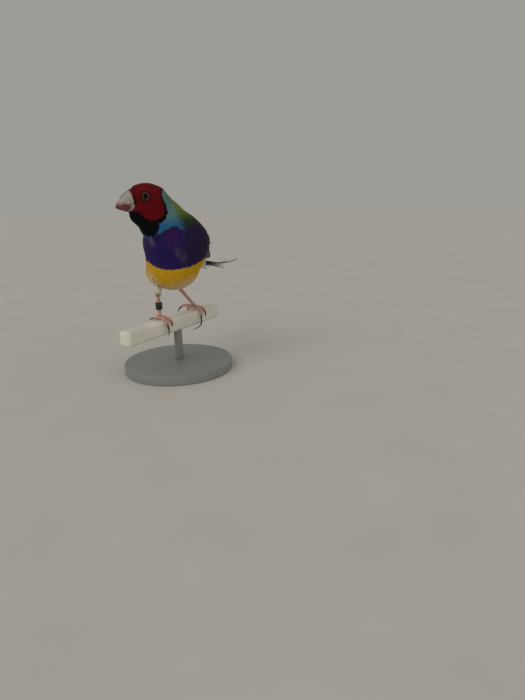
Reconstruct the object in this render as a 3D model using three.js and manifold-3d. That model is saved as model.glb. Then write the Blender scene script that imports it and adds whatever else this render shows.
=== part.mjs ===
// A male gouldian finch at life size, on a short cut length of its perch and a plain display stand.
// Millimetres, +Z up. The origin is the centre of the stand's underside.
// The bird faces -Y with its tail toward +Y, and its left side is +X.
import * as THREE from "three";
import { mergeVertices } from "three/addons/utils/BufferGeometryUtils.js";
import Module from "manifold-3d";

const wasm = await Module();
wasm.setup();

// Driving dimensions
const GAP = 0.3;
const BODY = new THREE.Vector3(3.8, 0.9, 76.7);
const HEAD = new THREE.Vector3(-6.3, -22, 27.2);
const HEAD_TURN = 46;
const TAIL_BEND = 0.0012;
const BEND_START = 5;
const SKULL = { long: 10.2, high: 9.3, wide: 8.2 };
const EYE = { radius: 2.3, forward: 2.9, up: 2.3, side: 5.75, lidRing: 1.95, lidThick: 0.4, lidOut: 1.6 };
const PERCH = { size: 9, corner: 2, near: -44, far: 39.5, height: 30, heading: 19 };
const STAND = { radius: 34, thick: 6, edge: 1, post: 2.6, postAt: 1 };
const RING = { outer: 2.05, inner: 1.3, height: 4.4, along: 0.47 };
const WING = { start: -3, middle: 0.6 };
const TAIL = { start: 34, height: -12.6, slope: 0.2, core: 9 };
const random = seededRandom(7);

const colours = {
  head: "#8c1020",
  neck: "#5fb3c0",
  breast: "#4b2a86",
  belly: "#e8b21c",
  back: "#5c8a2c",
  rump: "#3f8fc4",
  wing: "#4f6f2c",
  tail: "#141416",
  thigh: "#e8dfc8",
  leg: "#cf8d84",
  claw: "#4a3426",
  bill: "#e6d9d2",
  eye: "#0a0908",
  ring: "#1a2220",
  perch: "#dcdacb",
  stand: "#8f8f8c",
};

function seededRandom(seed) {
  let state = seed;
  return () => {
    state = (state * 16807) % 2147483647;
    return state / 2147483647;
  };
}

// A random share between -1 and 1.
const sway = () => 2 * random() - 1;
const degrees = (angle) => (angle * Math.PI) / 180;
const vec = (x, y, z) => new THREE.Vector3(x, y, z);
const mix = (a, b, share) => a + (b - a) * share;

// The value at x on a smooth curve through a few [x, value] points.
function curveAt(points, x) {
  const last = points.length - 1;
  let k = 0;
  while (k < last - 1 && x > points[k + 1][0]) k += 1;
  const [x0, y0] = points[k];
  const [x1, y1] = points[k + 1];
  const share = THREE.MathUtils.clamp((x - x0) / (x1 - x0), 0, 1);
  const before = points[Math.max(k - 1, 0)];
  const after = points[Math.min(k + 2, last)];
  const slope0 = ((y1 - before[1]) / (x1 - before[0])) * (x1 - x0);
  const slope1 = ((after[1] - y0) / (after[0] - x0)) * (x1 - x0);
  const square = share * share;
  const cube = square * share;
  return (
    (2 * cube - 3 * square + 1) * y0 +
    (cube - 2 * square + share) * slope0 +
    (3 * square - 2 * cube) * y1 +
    (cube - square) * slope1
  );
}

// Frames: the head looks down the bird's right side, and the perch crosses under the body.
const headTurn = degrees(HEAD_TURN);
const headForward = vec(-Math.sin(headTurn), -Math.cos(headTurn), 0);
const headLeft = vec(Math.cos(headTurn), -Math.sin(headTurn), 0);
const perchHeading = degrees(PERCH.heading);
const perchAlong = vec(Math.sin(perchHeading), Math.cos(perchHeading), 0);
const perchSide = vec(Math.cos(perchHeading), -Math.sin(perchHeading), 0);

// A place on the body, measured from the body's centre.
const onBody = (x, y, z) => BODY.clone().add(vec(x, y, z));

// A place on the head, measured forward, to the head's left and up from the head's centre.
function onHead(forward, left, up) {
  const place = BODY.clone().add(HEAD);
  place.addScaledVector(headForward, forward);
  place.addScaledVector(headLeft, left);
  place.z += up;
  return place;
}

// A place by the perch, measured along it, toward its seen side and up from its centre line.
function onPerch(along, side, up) {
  const place = vec(0, 0, PERCH.height + up);
  place.addScaledVector(perchAlong, along);
  return place.addScaledVector(perchSide, side);
}

// The flesh is a smooth union of egg-shaped lobes.
// Each has a centre, half sizes to the side, along and up, and a pitch that lifts its front.
function lobe(centre, wide, long, high, pitch = 0, turn = 0) {
  const turning = new THREE.Matrix4().makeRotationZ(degrees(turn));
  turning.multiply(new THREE.Matrix4().makeRotationX(-degrees(pitch)));
  return { centre, size: vec(wide, long, high), inverse: turning.invert() };
}

const lobes = [
  lobe(onBody(0, 3, -1), 14.6, 26, 16.5, 20),
  lobe(onBody(1.1, -3, 2.5), 19.8, 17.8, 17.6, 10),
  lobe(onBody(-1.4, -5, -11.3), 16, 14.5, 13.8, 6),
  lobe(onBody(0, 22, -7), 8.6, 17, 9.4, 16),
  lobe(onBody(1.2, -4.5, 11.5), 12.6, 14, 10.4, 30),
  lobe(onBody(0.6, -11, 18.4), 8.6, 8.2, 8.2, 30),
  lobe(onBody(-6, -21.4, 13.6), 5.9, 5.1, 5.8, 20, -20),
  lobe(onBody(-3.2, -14.5, 17), 10.4, 9.6, 13.4, 24, -20),
  lobe(onHead(-0.8, 0, 0), SKULL.wide, SKULL.long, SKULL.high, 0, -HEAD_TURN),
  lobe(onHead(3.6, 0, 0.6), 4.6, 7.2, 7, -8, -HEAD_TURN),
  lobe(onHead(2, 0, -6.2), 5.4, 8.6, 6.2, -18, -HEAD_TURN),
];
const BLEND = 4;

function lobeDistance(place, { centre, size, inverse }) {
  const local = place.clone().sub(centre).applyMatrix4(inverse);
  const near = local.clone().divide(size);
  const reach = near.length();
  const slope = near.divide(size).length();
  return slope < 1e-9 ? -size.z : (reach * (reach - 1)) / slope;
}

function fleshDistance(place) {
  let distance = 1e3;
  for (const each of lobes) {
    const next = lobeDistance(place, each);
    const blend = Math.max(BLEND - Math.abs(distance - next), 0) / BLEND;
    distance = Math.min(distance, next) - (blend * blend * BLEND) / 4;
  }
  return distance;
}

// Closed solids from meshes, and back
function solid(geometry) {
  const bare = geometry.clone();
  bare.deleteAttribute("normal");
  bare.deleteAttribute("uv");
  const merged = mergeVertices(bare, 1e-5);
  const mesh = new wasm.Mesh({
    numProp: 3,
    vertProperties: merged.attributes.position.array,
    triVerts: new Uint32Array(merged.index.array),
  });
  return new wasm.Manifold(mesh);
}

const union = (pieces) => pieces.reduce((whole, piece) => whole.add(piece));

// The largest closed surface of a solid, with loose scraps and sealed hollows dropped.
function largest(whole) {
  const pieces = whole.decompose();
  return pieces.reduce((best, piece) => (piece.volume() > best.volume() ? piece : best));
}

// The body's end curves toward its left, behind BEND_START.
function bendTail(x, y) {
  const past = Math.max(y - BODY.y - BEND_START, 0);
  return x + TAIL_BEND * past * past;
}

function geometryOf(whole, bent) {
  const { vertProperties, triVerts, numProp } = largest(whole).getMesh();
  const count = vertProperties.length / numProp;
  const positions = new Float32Array(count * 3);
  for (let k = 0; k < count; k += 1) {
    const [x, y, z] = vertProperties.subarray(k * numProp, k * numProp + 3);
    positions.set([bent ? bendTail(x, y) : x, y, z], k * 3);
  }
  const geometry = new THREE.BufferGeometry();
  geometry.setAttribute("position", new THREE.BufferAttribute(positions, 3));
  geometry.setIndex(new THREE.BufferAttribute(new Uint32Array(triVerts), 1));
  geometry.computeVertexNormals();
  return geometry;
}

// The flesh's surface seen from a centre inside it, at a distance outside or inside the skin.
function wrap(centre, detail, level = 0) {
  const geometry = new THREE.IcosahedronGeometry(1, detail);
  const position = geometry.attributes.position;
  for (let k = 0; k < position.count; k += 1) {
    const way = new THREE.Vector3().fromBufferAttribute(position, k).normalize();
    let inside = 0;
    while (fleshDistance(centre.clone().addScaledVector(way, inside + 0.8)) < level) inside += 0.8;
    let outside = inside + 0.8;
    for (let step = 0; step < 14; step += 1) {
      const middle = (inside + outside) / 2;
      if (fleshDistance(centre.clone().addScaledVector(way, middle)) < level) inside = middle;
      else outside = middle;
    }
    const found = centre.clone().addScaledVector(way, inside);
    position.setXYZ(k, found.x, found.y, found.z);
  }
  return solid(geometry);
}

// A closed body through rings of points, with flat ends.
function loft(rings) {
  const sides = rings[0].length;
  const last = rings.length - 1;
  const points = rings.flat();
  const faces = [];
  for (let i = 0; i < last; i += 1) {
    for (let j = 0; j < sides; j += 1) {
      const next = (j + 1) % sides;
      const a = i * sides + j;
      const b = i * sides + next;
      faces.push(a, b, b + sides, a, b + sides, a + sides);
    }
  }
  for (const [ring, facing] of [
    [0, -1],
    [last, 1],
  ]) {
    const middle = points.length;
    const centre = rings[ring].reduce((sum, point) => sum.clone().add(point), vec(0, 0, 0));
    points.push(centre.divideScalar(sides));
    for (let j = 0; j < sides; j += 1) {
      const a = ring * sides + j;
      const b = ring * sides + ((j + 1) % sides);
      faces.push(...(facing > 0 ? [middle, a, b] : [middle, b, a]));
    }
  }
  return facingOut(points, faces);
}

// A thin closed slab between two like grids of points, split into triangles alike on both faces.
function slab(rows, columns, outer, inner) {
  const points = [];
  for (const face of [outer, inner]) {
    for (let i = 0; i <= rows; i += 1) {
      for (let j = 0; j <= columns; j += 1) points.push(face(i / rows, j / columns));
    }
  }
  const half = (rows + 1) * (columns + 1);
  const at = (i, j) => i * (columns + 1) + j;
  const faces = [];
  for (let i = 0; i < rows; i += 1) {
    for (let j = 0; j < columns; j += 1) {
      const [a, b, c, d] = [at(i, j), at(i, j + 1), at(i + 1, j + 1), at(i + 1, j)];
      faces.push(a, b, c, a, c, d);
      faces.push(half + a, half + c, half + b, half + a, half + d, half + c);
    }
  }
  const rim = [];
  for (let j = 0; j < columns; j += 1) rim.push([at(0, j), at(0, j + 1)]);
  for (let i = 0; i < rows; i += 1) rim.push([at(i, columns), at(i + 1, columns)]);
  for (let j = columns; j > 0; j -= 1) rim.push([at(rows, j), at(rows, j - 1)]);
  for (let i = rows; i > 0; i -= 1) rim.push([at(i, 0), at(i - 1, 0)]);
  for (const [a, b] of rim) faces.push(b, a, half + a, b, half + a, half + b);
  return facingOut(points, faces);
}

// The solid of a closed mesh, turned so that its faces point out.
function facingOut(points, faces) {
  const build = (order) => {
    const geometry = new THREE.BufferGeometry();
    geometry.setAttribute("position", new THREE.Float32BufferAttribute(points.flatMap((p) => p.toArray()), 3));
    geometry.setIndex(order);
    return solid(geometry);
  };
  const first = build(faces);
  if (first.volume() > 0) return first;
  return build(faces.map((_, k) => faces[k - (k % 3) + 2 - (k % 3)]));
}

// A round limb along a few points, each given as [place, radius].
function limb(stations, sides = 8, steps = 3) {
  const curve = new THREE.CatmullRomCurve3(stations.map(([place]) => place));
  const count = (stations.length - 1) * steps;
  const rings = [];
  const frames = curve.computeFrenetFrames(count);
  for (let k = 0; k <= count; k += 1) {
    const share = k / count;
    const centre = curve.getPoint(share);
    const slot = Math.min(Math.floor(share * (stations.length - 1)), stations.length - 2);
    const within = share * (stations.length - 1) - slot;
    const radius = mix(stations[slot][1], stations[slot + 1][1], within);
    rings.push(ringAround(centre, frames.normals[k], frames.binormals[k], radius, sides));
  }
  return loft(rings);
}

function ringAround(centre, across, up, radius, sides) {
  const ring = [];
  for (let j = 0; j < sides; j += 1) {
    const angle = (2 * Math.PI * j) / sides;
    const point = centre.clone().addScaledVector(across, radius * Math.cos(angle));
    ring.push(point.addScaledVector(up, radius * Math.sin(angle)));
  }
  return ring;
}

// A ball or an egg
function ball(centre, radius, columns = 16, rows = 10, stretch = vec(1, 1, 1)) {
  const geometry = new THREE.SphereGeometry(radius, columns, rows);
  geometry.scale(stretch.x, stretch.y, stretch.z);
  geometry.translate(centre.x, centre.y, centre.z);
  return solid(geometry);
}

// The part of a solid on the far side of a plane, past its face by a margin.
function beyond(whole, plane, margin = GAP / 2) {
  return whole.trimByPlane(plane.normal.toArray(), plane.normal.dot(plane.point) + margin);
}

const before = (whole, plane) =>
  beyond(whole, { point: plane.point, normal: plane.normal.clone().negate() });

// One feather: a thin tapering vane with a raised shaft, laid by a function of along, across and lift.
function vane(lay, { root, tip, side, tipSide, width, lift, tipLift, thick = 0.55, sharp = 0.5 }) {
  const outline = [
    [0, 0.55],
    [0.3, 1],
    [0.75, 0.95],
    [0.93, 0.72],
    [1, sharp * 0.5],
  ];
  const face = (height) => (u, v) => {
    const along = mix(root, tip, Math.min(u, 1));
    const half = (width / 2) * curveAt(outline, u);
    const across = mix(side, tipSide, u) + half * (2 * v - 1);
    const shaft = 0.14 * (1 - Math.abs(2 * v - 1));
    return lay(along, across, mix(lift, tipLift, u) + height * (1 + shaft));
  };
  return slab(4, 2, face(thick / 2), face(-thick / 2));
}

// Planes that part the flesh, each through a place with its normal toward the part named first
const planes = {
  head: { point: onHead(-1.2, 0, -5.5), normal: vec(-0.3, -0.31, 0.9).normalize() },
  neck: { point: onBody(-1, -15, 11.5), normal: vec(-0.17, -0.55, 0.8).normalize() },
  breast: { point: onBody(0, -17, -11.5), normal: vec(0, -0.33, 0.94).normalize() },
  back: { point: onBody(0, 3, 0), normal: vec(0, 0.97, 0.24).normalize() },
  rump: { point: onBody(0, 24, -6), normal: vec(0, 0.96, -0.28).normalize() },
  tail: { point: onBody(0, TAIL.start, TAIL.height), normal: vec(0, 1, 0) },
};

const torsoCentre = onBody(0.5, 4, -2);
const torso = wrap(torsoCentre, 8);
const torsoClear = wrap(torsoCentre, 8, GAP);
const neckWrap = wrap(onBody(-3, -13, 15), 6);
const headWrap = wrap(onHead(0.5, 0, -1), 7);

// Bill: curves of the ridge, the mouth line and the underside, and the half width, by distance forward
const bill = {
  ridge: [
    [6.4, 7.2],
    [10, 5.8],
    [12.3, 4.4],
    [14.2, 2.9],
    [16.4, -0.1],
    [17.9, -2.8],
  ],
  mouth: [
    [6.4, -0.5],
    [10, -1.25],
    [14, -1.9],
    [17.9, -3.1],
  ],
  under: [
    [6.4, -5.5],
    [11.7, -5.4],
    [14.3, -4.6],
    [16.3, -3.9],
    [17.3, -3.55],
  ],
  width: [
    [6.4, 4.9],
    [10, 4.1],
    [13, 3],
    [15.5, 1.7],
    [17.2, 0.7],
    [17.9, 0.28],
  ],
  root: 6.4,
};

// One ring of the upper bill, or of the lower one where lower is true, grown by a margin.
function billRing(forward, lower, margin) {
  const wide = curveAt(bill.width, forward) * (lower ? 0.93 : 1) + margin;
  const mouth = curveAt(bill.mouth, forward) + (lower ? -GAP / 2 + margin : GAP / 2 - margin);
  const far = curveAt(lower ? bill.under : bill.ridge, forward) + (lower ? -margin : margin);
  const ring = [];
  const steps = 8;
  for (let j = 0; j <= steps; j += 1) {
    const angle = (Math.PI * j) / steps;
    const rise = Math.pow(Math.sin(angle), lower ? 0.75 : 0.85);
    ring.push(onHead(forward, wide * Math.cos(angle), mouth + (far - mouth) * rise));
  }
  return ring;
}

function billHalf(lower, margin = 0) {
  const end = lower ? 17.3 : 17.9;
  const rings = [];
  for (let k = 0; k <= 8; k += 1) {
    const forward = mix(bill.root - margin, end, Math.pow(k / 8, 0.85));
    rings.push(billRing(forward, lower, margin));
  }
  return loft(rings);
}

function makeBillUpper() {
  let upper = billHalf(false);
  for (const side of [-1, 1]) {
    const nostril = ball(onHead(9.6, side * 3.0, 4.1), 0.55, 8, 6);
    upper = upper.subtract(nostril);
  }
  return upper;
}

// Head: the skull and cheeks, with a socket for each eye ringed by its lids
const eyePlace = (side, out = 0) => onHead(EYE.forward, side * (EYE.side + out), EYE.up);

function lidRing(side) {
  const geometry = new THREE.TorusGeometry(EYE.lidRing, EYE.lidThick, 6, 14);
  const place = eyePlace(side, EYE.lidOut);
  const facing = headLeft.clone().multiplyScalar(side);
  facing.addScaledVector(headForward, 0.12);
  facing.z += 0.08;
  geometry.applyQuaternion(new THREE.Quaternion().setFromUnitVectors(vec(0, 0, 1), facing.normalize()));
  geometry.translate(place.x, place.y, place.z);
  return solid(geometry);
}

function makeHead() {
  let head = beyond(headWrap, planes.head);
  for (const side of [-1, 1]) {
    head = head.add(lidRing(side));
    head = head.subtract(ball(eyePlace(side), EYE.radius + GAP, 12, 8));
  }
  head = head.subtract(billHalf(false, GAP));
  return head.subtract(billHalf(true, GAP));
}

// Torso pieces
const upperTorso = beyond(before(torso, planes.neck), planes.breast);
const makeNeck = () => before(beyond(neckWrap, planes.neck), planes.head);
const makeBreast = () => before(upperTorso, planes.back);
const makeBack = () => before(beyond(upperTorso, planes.back), planes.rump);
const makeBelly = () => before(before(torso, planes.breast), planes.rump);
const makeRump = () => before(beyond(torso, planes.rump), planes.tail);

// Wings: feathers lie on a sleeve round the body, by distance back from the bend and up round the side
const sleeve = {
  side: [
    [-6, 16.2],
    [2, 16.6],
    [8, 16.2],
    [13, 15],
    [18, 13],
    [28, 8.8],
    [38, 5.6],
    [48, 3.2],
    [56, 2],
  ],
  tall: [
    [-6, 15],
    [8, 13],
    [18, 10.5],
    [28, 7.6],
    [38, 5.6],
    [48, 4.2],
    [56, 3.4],
  ],
  height: [
    [-6, 6.6],
    [8, 3.2],
    [18, -0.2],
    [28, -3.6],
    [38, -6],
    [48, -8.4],
    [56, -10.1],
  ],
};

function layOnSleeve(side) {
  return (along, across, lift) => {
    const wide = curveAt(sleeve.side, along);
    const tall = curveAt(sleeve.tall, along);
    const angle = across / tall;
    const out = vec(Math.cos(angle) / wide, 0, Math.sin(angle) / tall).normalize();
    const x = wide * Math.cos(angle) + out.x * lift;
    const z = curveAt(sleeve.height, along) + tall * Math.sin(angle) + out.z * lift;
    return onBody(WING.middle + side * x, WING.start + along, z);
  };
}

// Each tier of the wing: how many feathers, and its first and last root, tip, height and lift.
const tiers = [
  { count: 7, root: [12, 16], tip: [51, 41], from: [-6.2, -3], to: [-2.4, 0.4], width: 4.4, lift: [0.0, 0.7] },
  { count: 5, root: [12, 12], tip: [39, 34], from: [-3.8, 3.2], to: [-2.2, 3.8], width: 5.2, lift: [0.55, 1.0] },
  { count: 3, root: [13, 13], tip: [35, 28.5], from: [4.2, 8.2], to: [4.8, 7.4], width: 5.4, lift: [0.95, 1.3] },
  { count: 7, root: [7, 8], tip: [21, 19.5], from: [-7.4, 8.4], to: [-6.4, 8.2], width: 4.6, lift: [1.1, 1.45] },
  { count: 6, root: [3, 4], tip: [13, 13.5], from: [-7, 8.6], to: [-6.8, 8.6], width: 4.6, lift: [1.45, 1.75] },
];

function makeWing(side) {
  const lay = layOnSleeve(side);
  const wingEdge = [
    [0, 5.5],
    [0.35, 9],
    [1, 6],
  ];
  const core = (lift) => (u, v) => {
    const along = mix(0, 30, u);
    const half = curveAt(wingEdge, u);
    return lay(along, half * (2 * v - 1) - 0.5 * u, lift);
  };
  const pieces = [slab(8, 4, core(0.9), core(-5))];
  for (const tier of tiers) {
    for (let k = 0; k < tier.count; k += 1) {
      const share = k / (tier.count - 1);
      const pick = ([first, last]) => mix(first, last, share);
      const lift = pick(tier.lift);
      pieces.push(
        vane(lay, {
          root: pick(tier.root),
          tip: pick(tier.tip) + 0.5 * sway(),
          side: pick(tier.from),
          tipSide: pick(tier.to) + 0.2 * sway(),
          width: tier.width,
          lift: Math.min(lift, 0.7),
          tipLift: lift + 0.3,
        }),
      );
    }
  }
  return largest(union(pieces).subtract(torsoClear));
}

// Tail: black feathers in overlapping tiers, the middle pair drawn out into two threads
function layOnTail(along, across, lift) {
  const roof = (across * across) / 26;
  const z = TAIL.height - TAIL.slope * along + lift - roof;
  return onBody(across, TAIL.start + along, z);
}

function makeTail() {
  const pieces = [];
  const core = (lift, taper) => (u, v) => {
    const half = mix(4.6, 3.6, u);
    return layOnTail(0.2 + TAIL.core * u, half * (2 * v - 1), lift - taper * u);
  };
  pieces.push(slab(3, 4, core(1.7, 1.2), core(-3.4, -2.4)));
  const lengths = [38, 37.5, 36, 34, 31.5, 28.5];
  lengths.forEach((length, pair) => {
    for (const side of [-1, 1]) {
      pieces.push(
        vane(layOnTail, {
          root: 3,
          tip: length + 0.4 * sway(),
          side: side * (0.9 + 0.45 * pair),
          tipSide: side * (1.3 + 0.75 * pair),
          width: 4.6,
          lift: 0.5 - 0.35 * pair + 0.12 * side,
          tipLift: 0.6 - 0.42 * pair + 0.12 * side,
        }),
      );
    }
  });
  for (const [side, reach, rise] of [
    [1, 55, 5.5],
    [-1, 47, 2.5],
  ]) {
    const thread = [
      [layOnTail(30, side * 1.2, 0.7), 0.5],
      [layOnTail(40, side * 1.6, 1.1), 0.36],
      [layOnTail(mix(40, reach, 0.6), side * 2.4, 1 + rise * 0.4), 0.3],
      [layOnTail(reach, side * 3 + 2, 1 + rise), 0.22],
    ];
    pieces.push(limb(thread, 6, 2));
  }
  const coverts = { above: [5, 13, 1.8, 0.9], below: [3, 11, -3, -2.6] };
  for (const [count, reach, lift, tipLift] of Object.values(coverts)) {
    for (let k = 0; k < count; k += 1) {
      const across = mix(-2.6, 2.6, k / (count - 1));
      pieces.push(
        vane(layOnTail, {
          root: 0.6,
          tip: reach - Math.abs(across),
          side: across,
          tipSide: across * 0.7,
          width: 3.2,
          lift: lift - 0.5 * Math.sign(lift),
          tipLift,
        }),
      );
    }
  }
  return union(pieces);
}

// Legs, feet and claws, all placed by the perch
const legs = {
  right: {
    hip: onBody(-8.4, -11.5, -16),
    ankle: onPerch(-12.9, -1, 19.1),
    foot: onPerch(-13, -0.8, 6.4),
    toes: {
      inner: [onPerch(-11.2, 2.6, 5.9), onPerch(-10.6, 5.3, 4.6), onPerch(-10.3, 5.9, 3.2)],
      middle: [onPerch(-14, 2.4, 6.1), onPerch(-14.8, 5, 5.2), onPerch(-14.4, 6.2, 2.7)],
      outer: [onPerch(-14.5, -2, 5.9), onPerch(-15.2, -2.6, 5.8), onPerch(-15.9, -3.4, 5.7)],
      hind: [onPerch(-12.6, -3.4, 5.9), onPerch(-12.2, -5.2, 5.0), onPerch(-12.1, -6.1, 3.2)],
    },
    claws: {
      inner: [onPerch(-10.2, 6.2, 1.8), onPerch(-10.1, 5.7, 0.3)],
      middle: [onPerch(-14, 6.6, -1), onPerch(-14, 5.9, -4.8)],
      outer: [onPerch(-16.8, -4.6, 5.7), onPerch(-17.2, -5.8, 5.0)],
      hind: [onPerch(-12, -6.6, 0.6), onPerch(-12.2, -5.8, -2.8)],
    },
  },
  left: {
    hip: onBody(-1.6, 5, -17),
    ankle: onPerch(7.2, -1.2, 20.4),
    foot: onPerch(20, -0.2, 6.4),
    toes: {
      inner: [onPerch(15.6, -1.2, 7.6), onPerch(11.6, -2.2, 8.6), onPerch(8.6, -2.6, 8)],
      middle: [onPerch(19.4, 3, 6.1), onPerch(18.4, 5.6, 4.8), onPerch(17.4, 6.4, 1.6)],
      outer: [onPerch(21.2, 2.6, 6), onPerch(21.8, 4.6, 5.2), onPerch(22, 5.7, 4.1)],
      hind: [onPerch(19.6, -3.2, 5.9), onPerch(19.2, -5.4, 4.9), onPerch(19, -6.2, 3)],
    },
    claws: {
      inner: [onPerch(6.6, -2.4, 7), onPerch(5.4, -2.2, 5.2)],
      middle: [onPerch(16.4, 6.7, -4.4), onPerch(8.4, 6, -6.4)],
      outer: [onPerch(22.4, 6.4, 1.8), onPerch(22.3, 5.9, -0.9)],
      hind: [onPerch(18.6, -6.5, 0.4), onPerch(17.6, -5.8, -2.6)],
    },
  },
};
const TOE = { root: 1.15, end: 0.8 };
const SHANK = { top: 1.35, middle: 1.0, foot: 1.25 };

function perchSolid(margin) {
  const half = PERCH.size / 2 + margin;
  const corner = PERCH.corner + margin;
  const shape = new THREE.Shape();
  const straight = half - corner;
  for (let k = 0; k < 4; k += 1) {
    const angle = (Math.PI / 2) * k;
    const [cx, cy] = [straight * (k === 0 || k === 3 ? 1 : -1), straight * (k < 2 ? 1 : -1)];
    shape.absarc(cx, cy, corner, angle, angle + Math.PI / 2, false);
  }
  const length = PERCH.far - PERCH.near + 2 * margin;
  const geometry = new THREE.ExtrudeGeometry(shape, { depth: length, bevelEnabled: false, curveSegments: 4 });
  geometry.translate(0, 0, PERCH.near - margin);
  geometry.rotateX(-Math.PI / 2);
  geometry.rotateZ(-perchHeading);
  geometry.translate(0, 0, PERCH.height);
  return solid(geometry);
}

const perchClear = perchSolid(GAP);

function makeThigh(leg) {
  const knee = leg.hip.clone().lerp(leg.ankle, 0.5);
  const end = leg.ankle.clone().lerp(leg.hip, -0.05);
  const thigh = limb([[leg.hip, 3.6], [knee, 2.5], [end, 1.4]], 10, 3);
  return largest(before(thigh, kneePlane(leg)).subtract(torsoClear));
}

// The cuts between the feathered thigh, the shank and the foot
const kneePlane = (leg) => ({
  point: leg.ankle,
  normal: leg.foot.clone().sub(leg.ankle).normalize(),
});

const anklePlane = (leg) => ({
  point: leg.foot.clone().add(vec(0, 0, 1.1)),
  normal: vec(0, 0, 1),
});

// The shank, grown by a margin for the room that the foot leaves it
function shankLimb(leg, margin = 0) {
  const start = leg.ankle.clone().lerp(leg.foot, -0.05);
  const middle = leg.ankle.clone().lerp(leg.foot, 0.5);
  const stations = [[start, SHANK.top], [middle, SHANK.middle], [leg.foot, SHANK.foot]];
  const shank = limb(stations.map(([place, radius]) => [place, radius + margin]), 8, 3);
  return beyond(shank, anklePlane(leg), GAP / 2 - margin);
}

const makeShank = (leg) => beyond(shankLimb(leg), kneePlane(leg));

// The cut between a toe and its claw, square to the toe's last joint
function clawPlane(toe) {
  const [joint, point] = toe.slice(-2);
  return { point, normal: point.clone().sub(joint).normalize() };
}

function makeFoot(leg) {
  const pieces = [before(ball(leg.foot.clone().add(vec(0, 0, 0.2)), 1.75, 8, 6), anklePlane(leg))];
  for (const points of Object.values(leg.toes)) {
    const stations = [[leg.foot, TOE.root]];
    points.forEach((point, k) => stations.push([point, mix(TOE.root, TOE.end, (k + 1) / points.length)]));
    const [joint, end] = points.slice(-2);
    stations.push([end.clone().add(end).sub(joint), TOE.end]);
    pieces.push(before(limb(stations, 7, 2), clawPlane(points)));
  }
  return union(pieces).subtract(perchClear).subtract(shankLimb(leg, GAP));
}

function makeClaw(toe, ends) {
  const plane = clawPlane(toe);
  const start = plane.point.clone().addScaledVector(plane.normal, -0.4);
  const claw = limb([[start, 0.66], [ends[0], 0.48], [ends[1], 0.16]], 6, 3);
  return beyond(claw, plane).subtract(perchClear);
}

function makeRing(leg) {
  const geometry = new THREE.LatheGeometry(
    [
      new THREE.Vector2(RING.inner, -RING.height / 2),
      new THREE.Vector2(RING.outer, -RING.height / 2),
      new THREE.Vector2(RING.outer, RING.height / 2),
      new THREE.Vector2(RING.inner, RING.height / 2),
      new THREE.Vector2(RING.inner, -RING.height / 2),
    ],
    20,
  );
  const way = leg.ankle.clone().sub(leg.foot).normalize();
  geometry.applyQuaternion(new THREE.Quaternion().setFromUnitVectors(vec(0, 1, 0), way));
  const place = leg.ankle.clone().lerp(leg.foot, RING.along);
  geometry.translate(place.x, place.y, place.z);
  return solid(geometry);
}

// Stand
function makeStandBase() {
  const { radius, thick, edge } = STAND;
  const profile = [
    new THREE.Vector2(0, 0),
    new THREE.Vector2(radius, 0),
    new THREE.Vector2(radius, thick - edge),
    new THREE.Vector2(radius - edge, thick),
    new THREE.Vector2(0, thick),
  ];
  const geometry = new THREE.LatheGeometry(profile, 48);
  geometry.rotateX(Math.PI / 2);
  return solid(geometry);
}

function makeStandPost() {
  const floor = STAND.thick + GAP;
  const height = PERCH.height - PERCH.size / 2 - GAP - floor;
  const geometry = new THREE.CylinderGeometry(STAND.post, STAND.post, height, 24);
  geometry.rotateX(Math.PI / 2);
  const foot = onPerch(STAND.postAt, 0, 0);
  geometry.translate(foot.x, foot.y, floor + height / 2);
  return solid(geometry);
}

// Every node: its name, its colour, its solid and whether it follows the bend of the tail
const nodes = [
  ["head", "head", makeHead(), true],
  ["bill_upper", "bill", makeBillUpper()],
  ["bill_lower", "bill", billHalf(true)],
  ["eye_left", "eye", ball(eyePlace(1), EYE.radius, 14, 9)],
  ["eye_right", "eye", ball(eyePlace(-1), EYE.radius, 14, 9)],
  ["neck", "neck", makeNeck(), true],
  ["breast", "breast", makeBreast(), true],
  ["belly", "belly", makeBelly(), true],
  ["back", "back", makeBack(), true],
  ["rump", "rump", makeRump(), true],
  ["wing_left", "wing", makeWing(1), true],
  ["wing_right", "wing", makeWing(-1), true],
  ["tail", "tail", makeTail(), true],
  ["leg_ring", "ring", makeRing(legs.right)],
  ["perch", "perch", perchSolid(0)],
  ["stand_base", "stand", makeStandBase()],
  ["stand_post", "stand", makeStandPost()],
];
for (const [side, leg] of Object.entries(legs)) {
  nodes.push(["thigh_" + side, "thigh", makeThigh(leg), true]);
  nodes.push(["shank_" + side, "leg", makeShank(leg)]);
  nodes.push(["foot_" + side, "leg", makeFoot(leg)]);
  for (const [name, ends] of Object.entries(leg.claws)) {
    nodes.push([`claw_${side}_${name}`, "claw", makeClaw(leg.toes[name], ends)]);
  }
}

const finch = new THREE.Group();
for (const [name, kind, whole, bent] of nodes) {
  const material = new THREE.MeshStandardMaterial({ color: colours[kind], roughness: 0.7, metalness: 0 });
  const mesh = new THREE.Mesh(geometryOf(whole, bent), material);
  mesh.name = name;
  finch.add(mesh);
}

export default finch;
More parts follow.
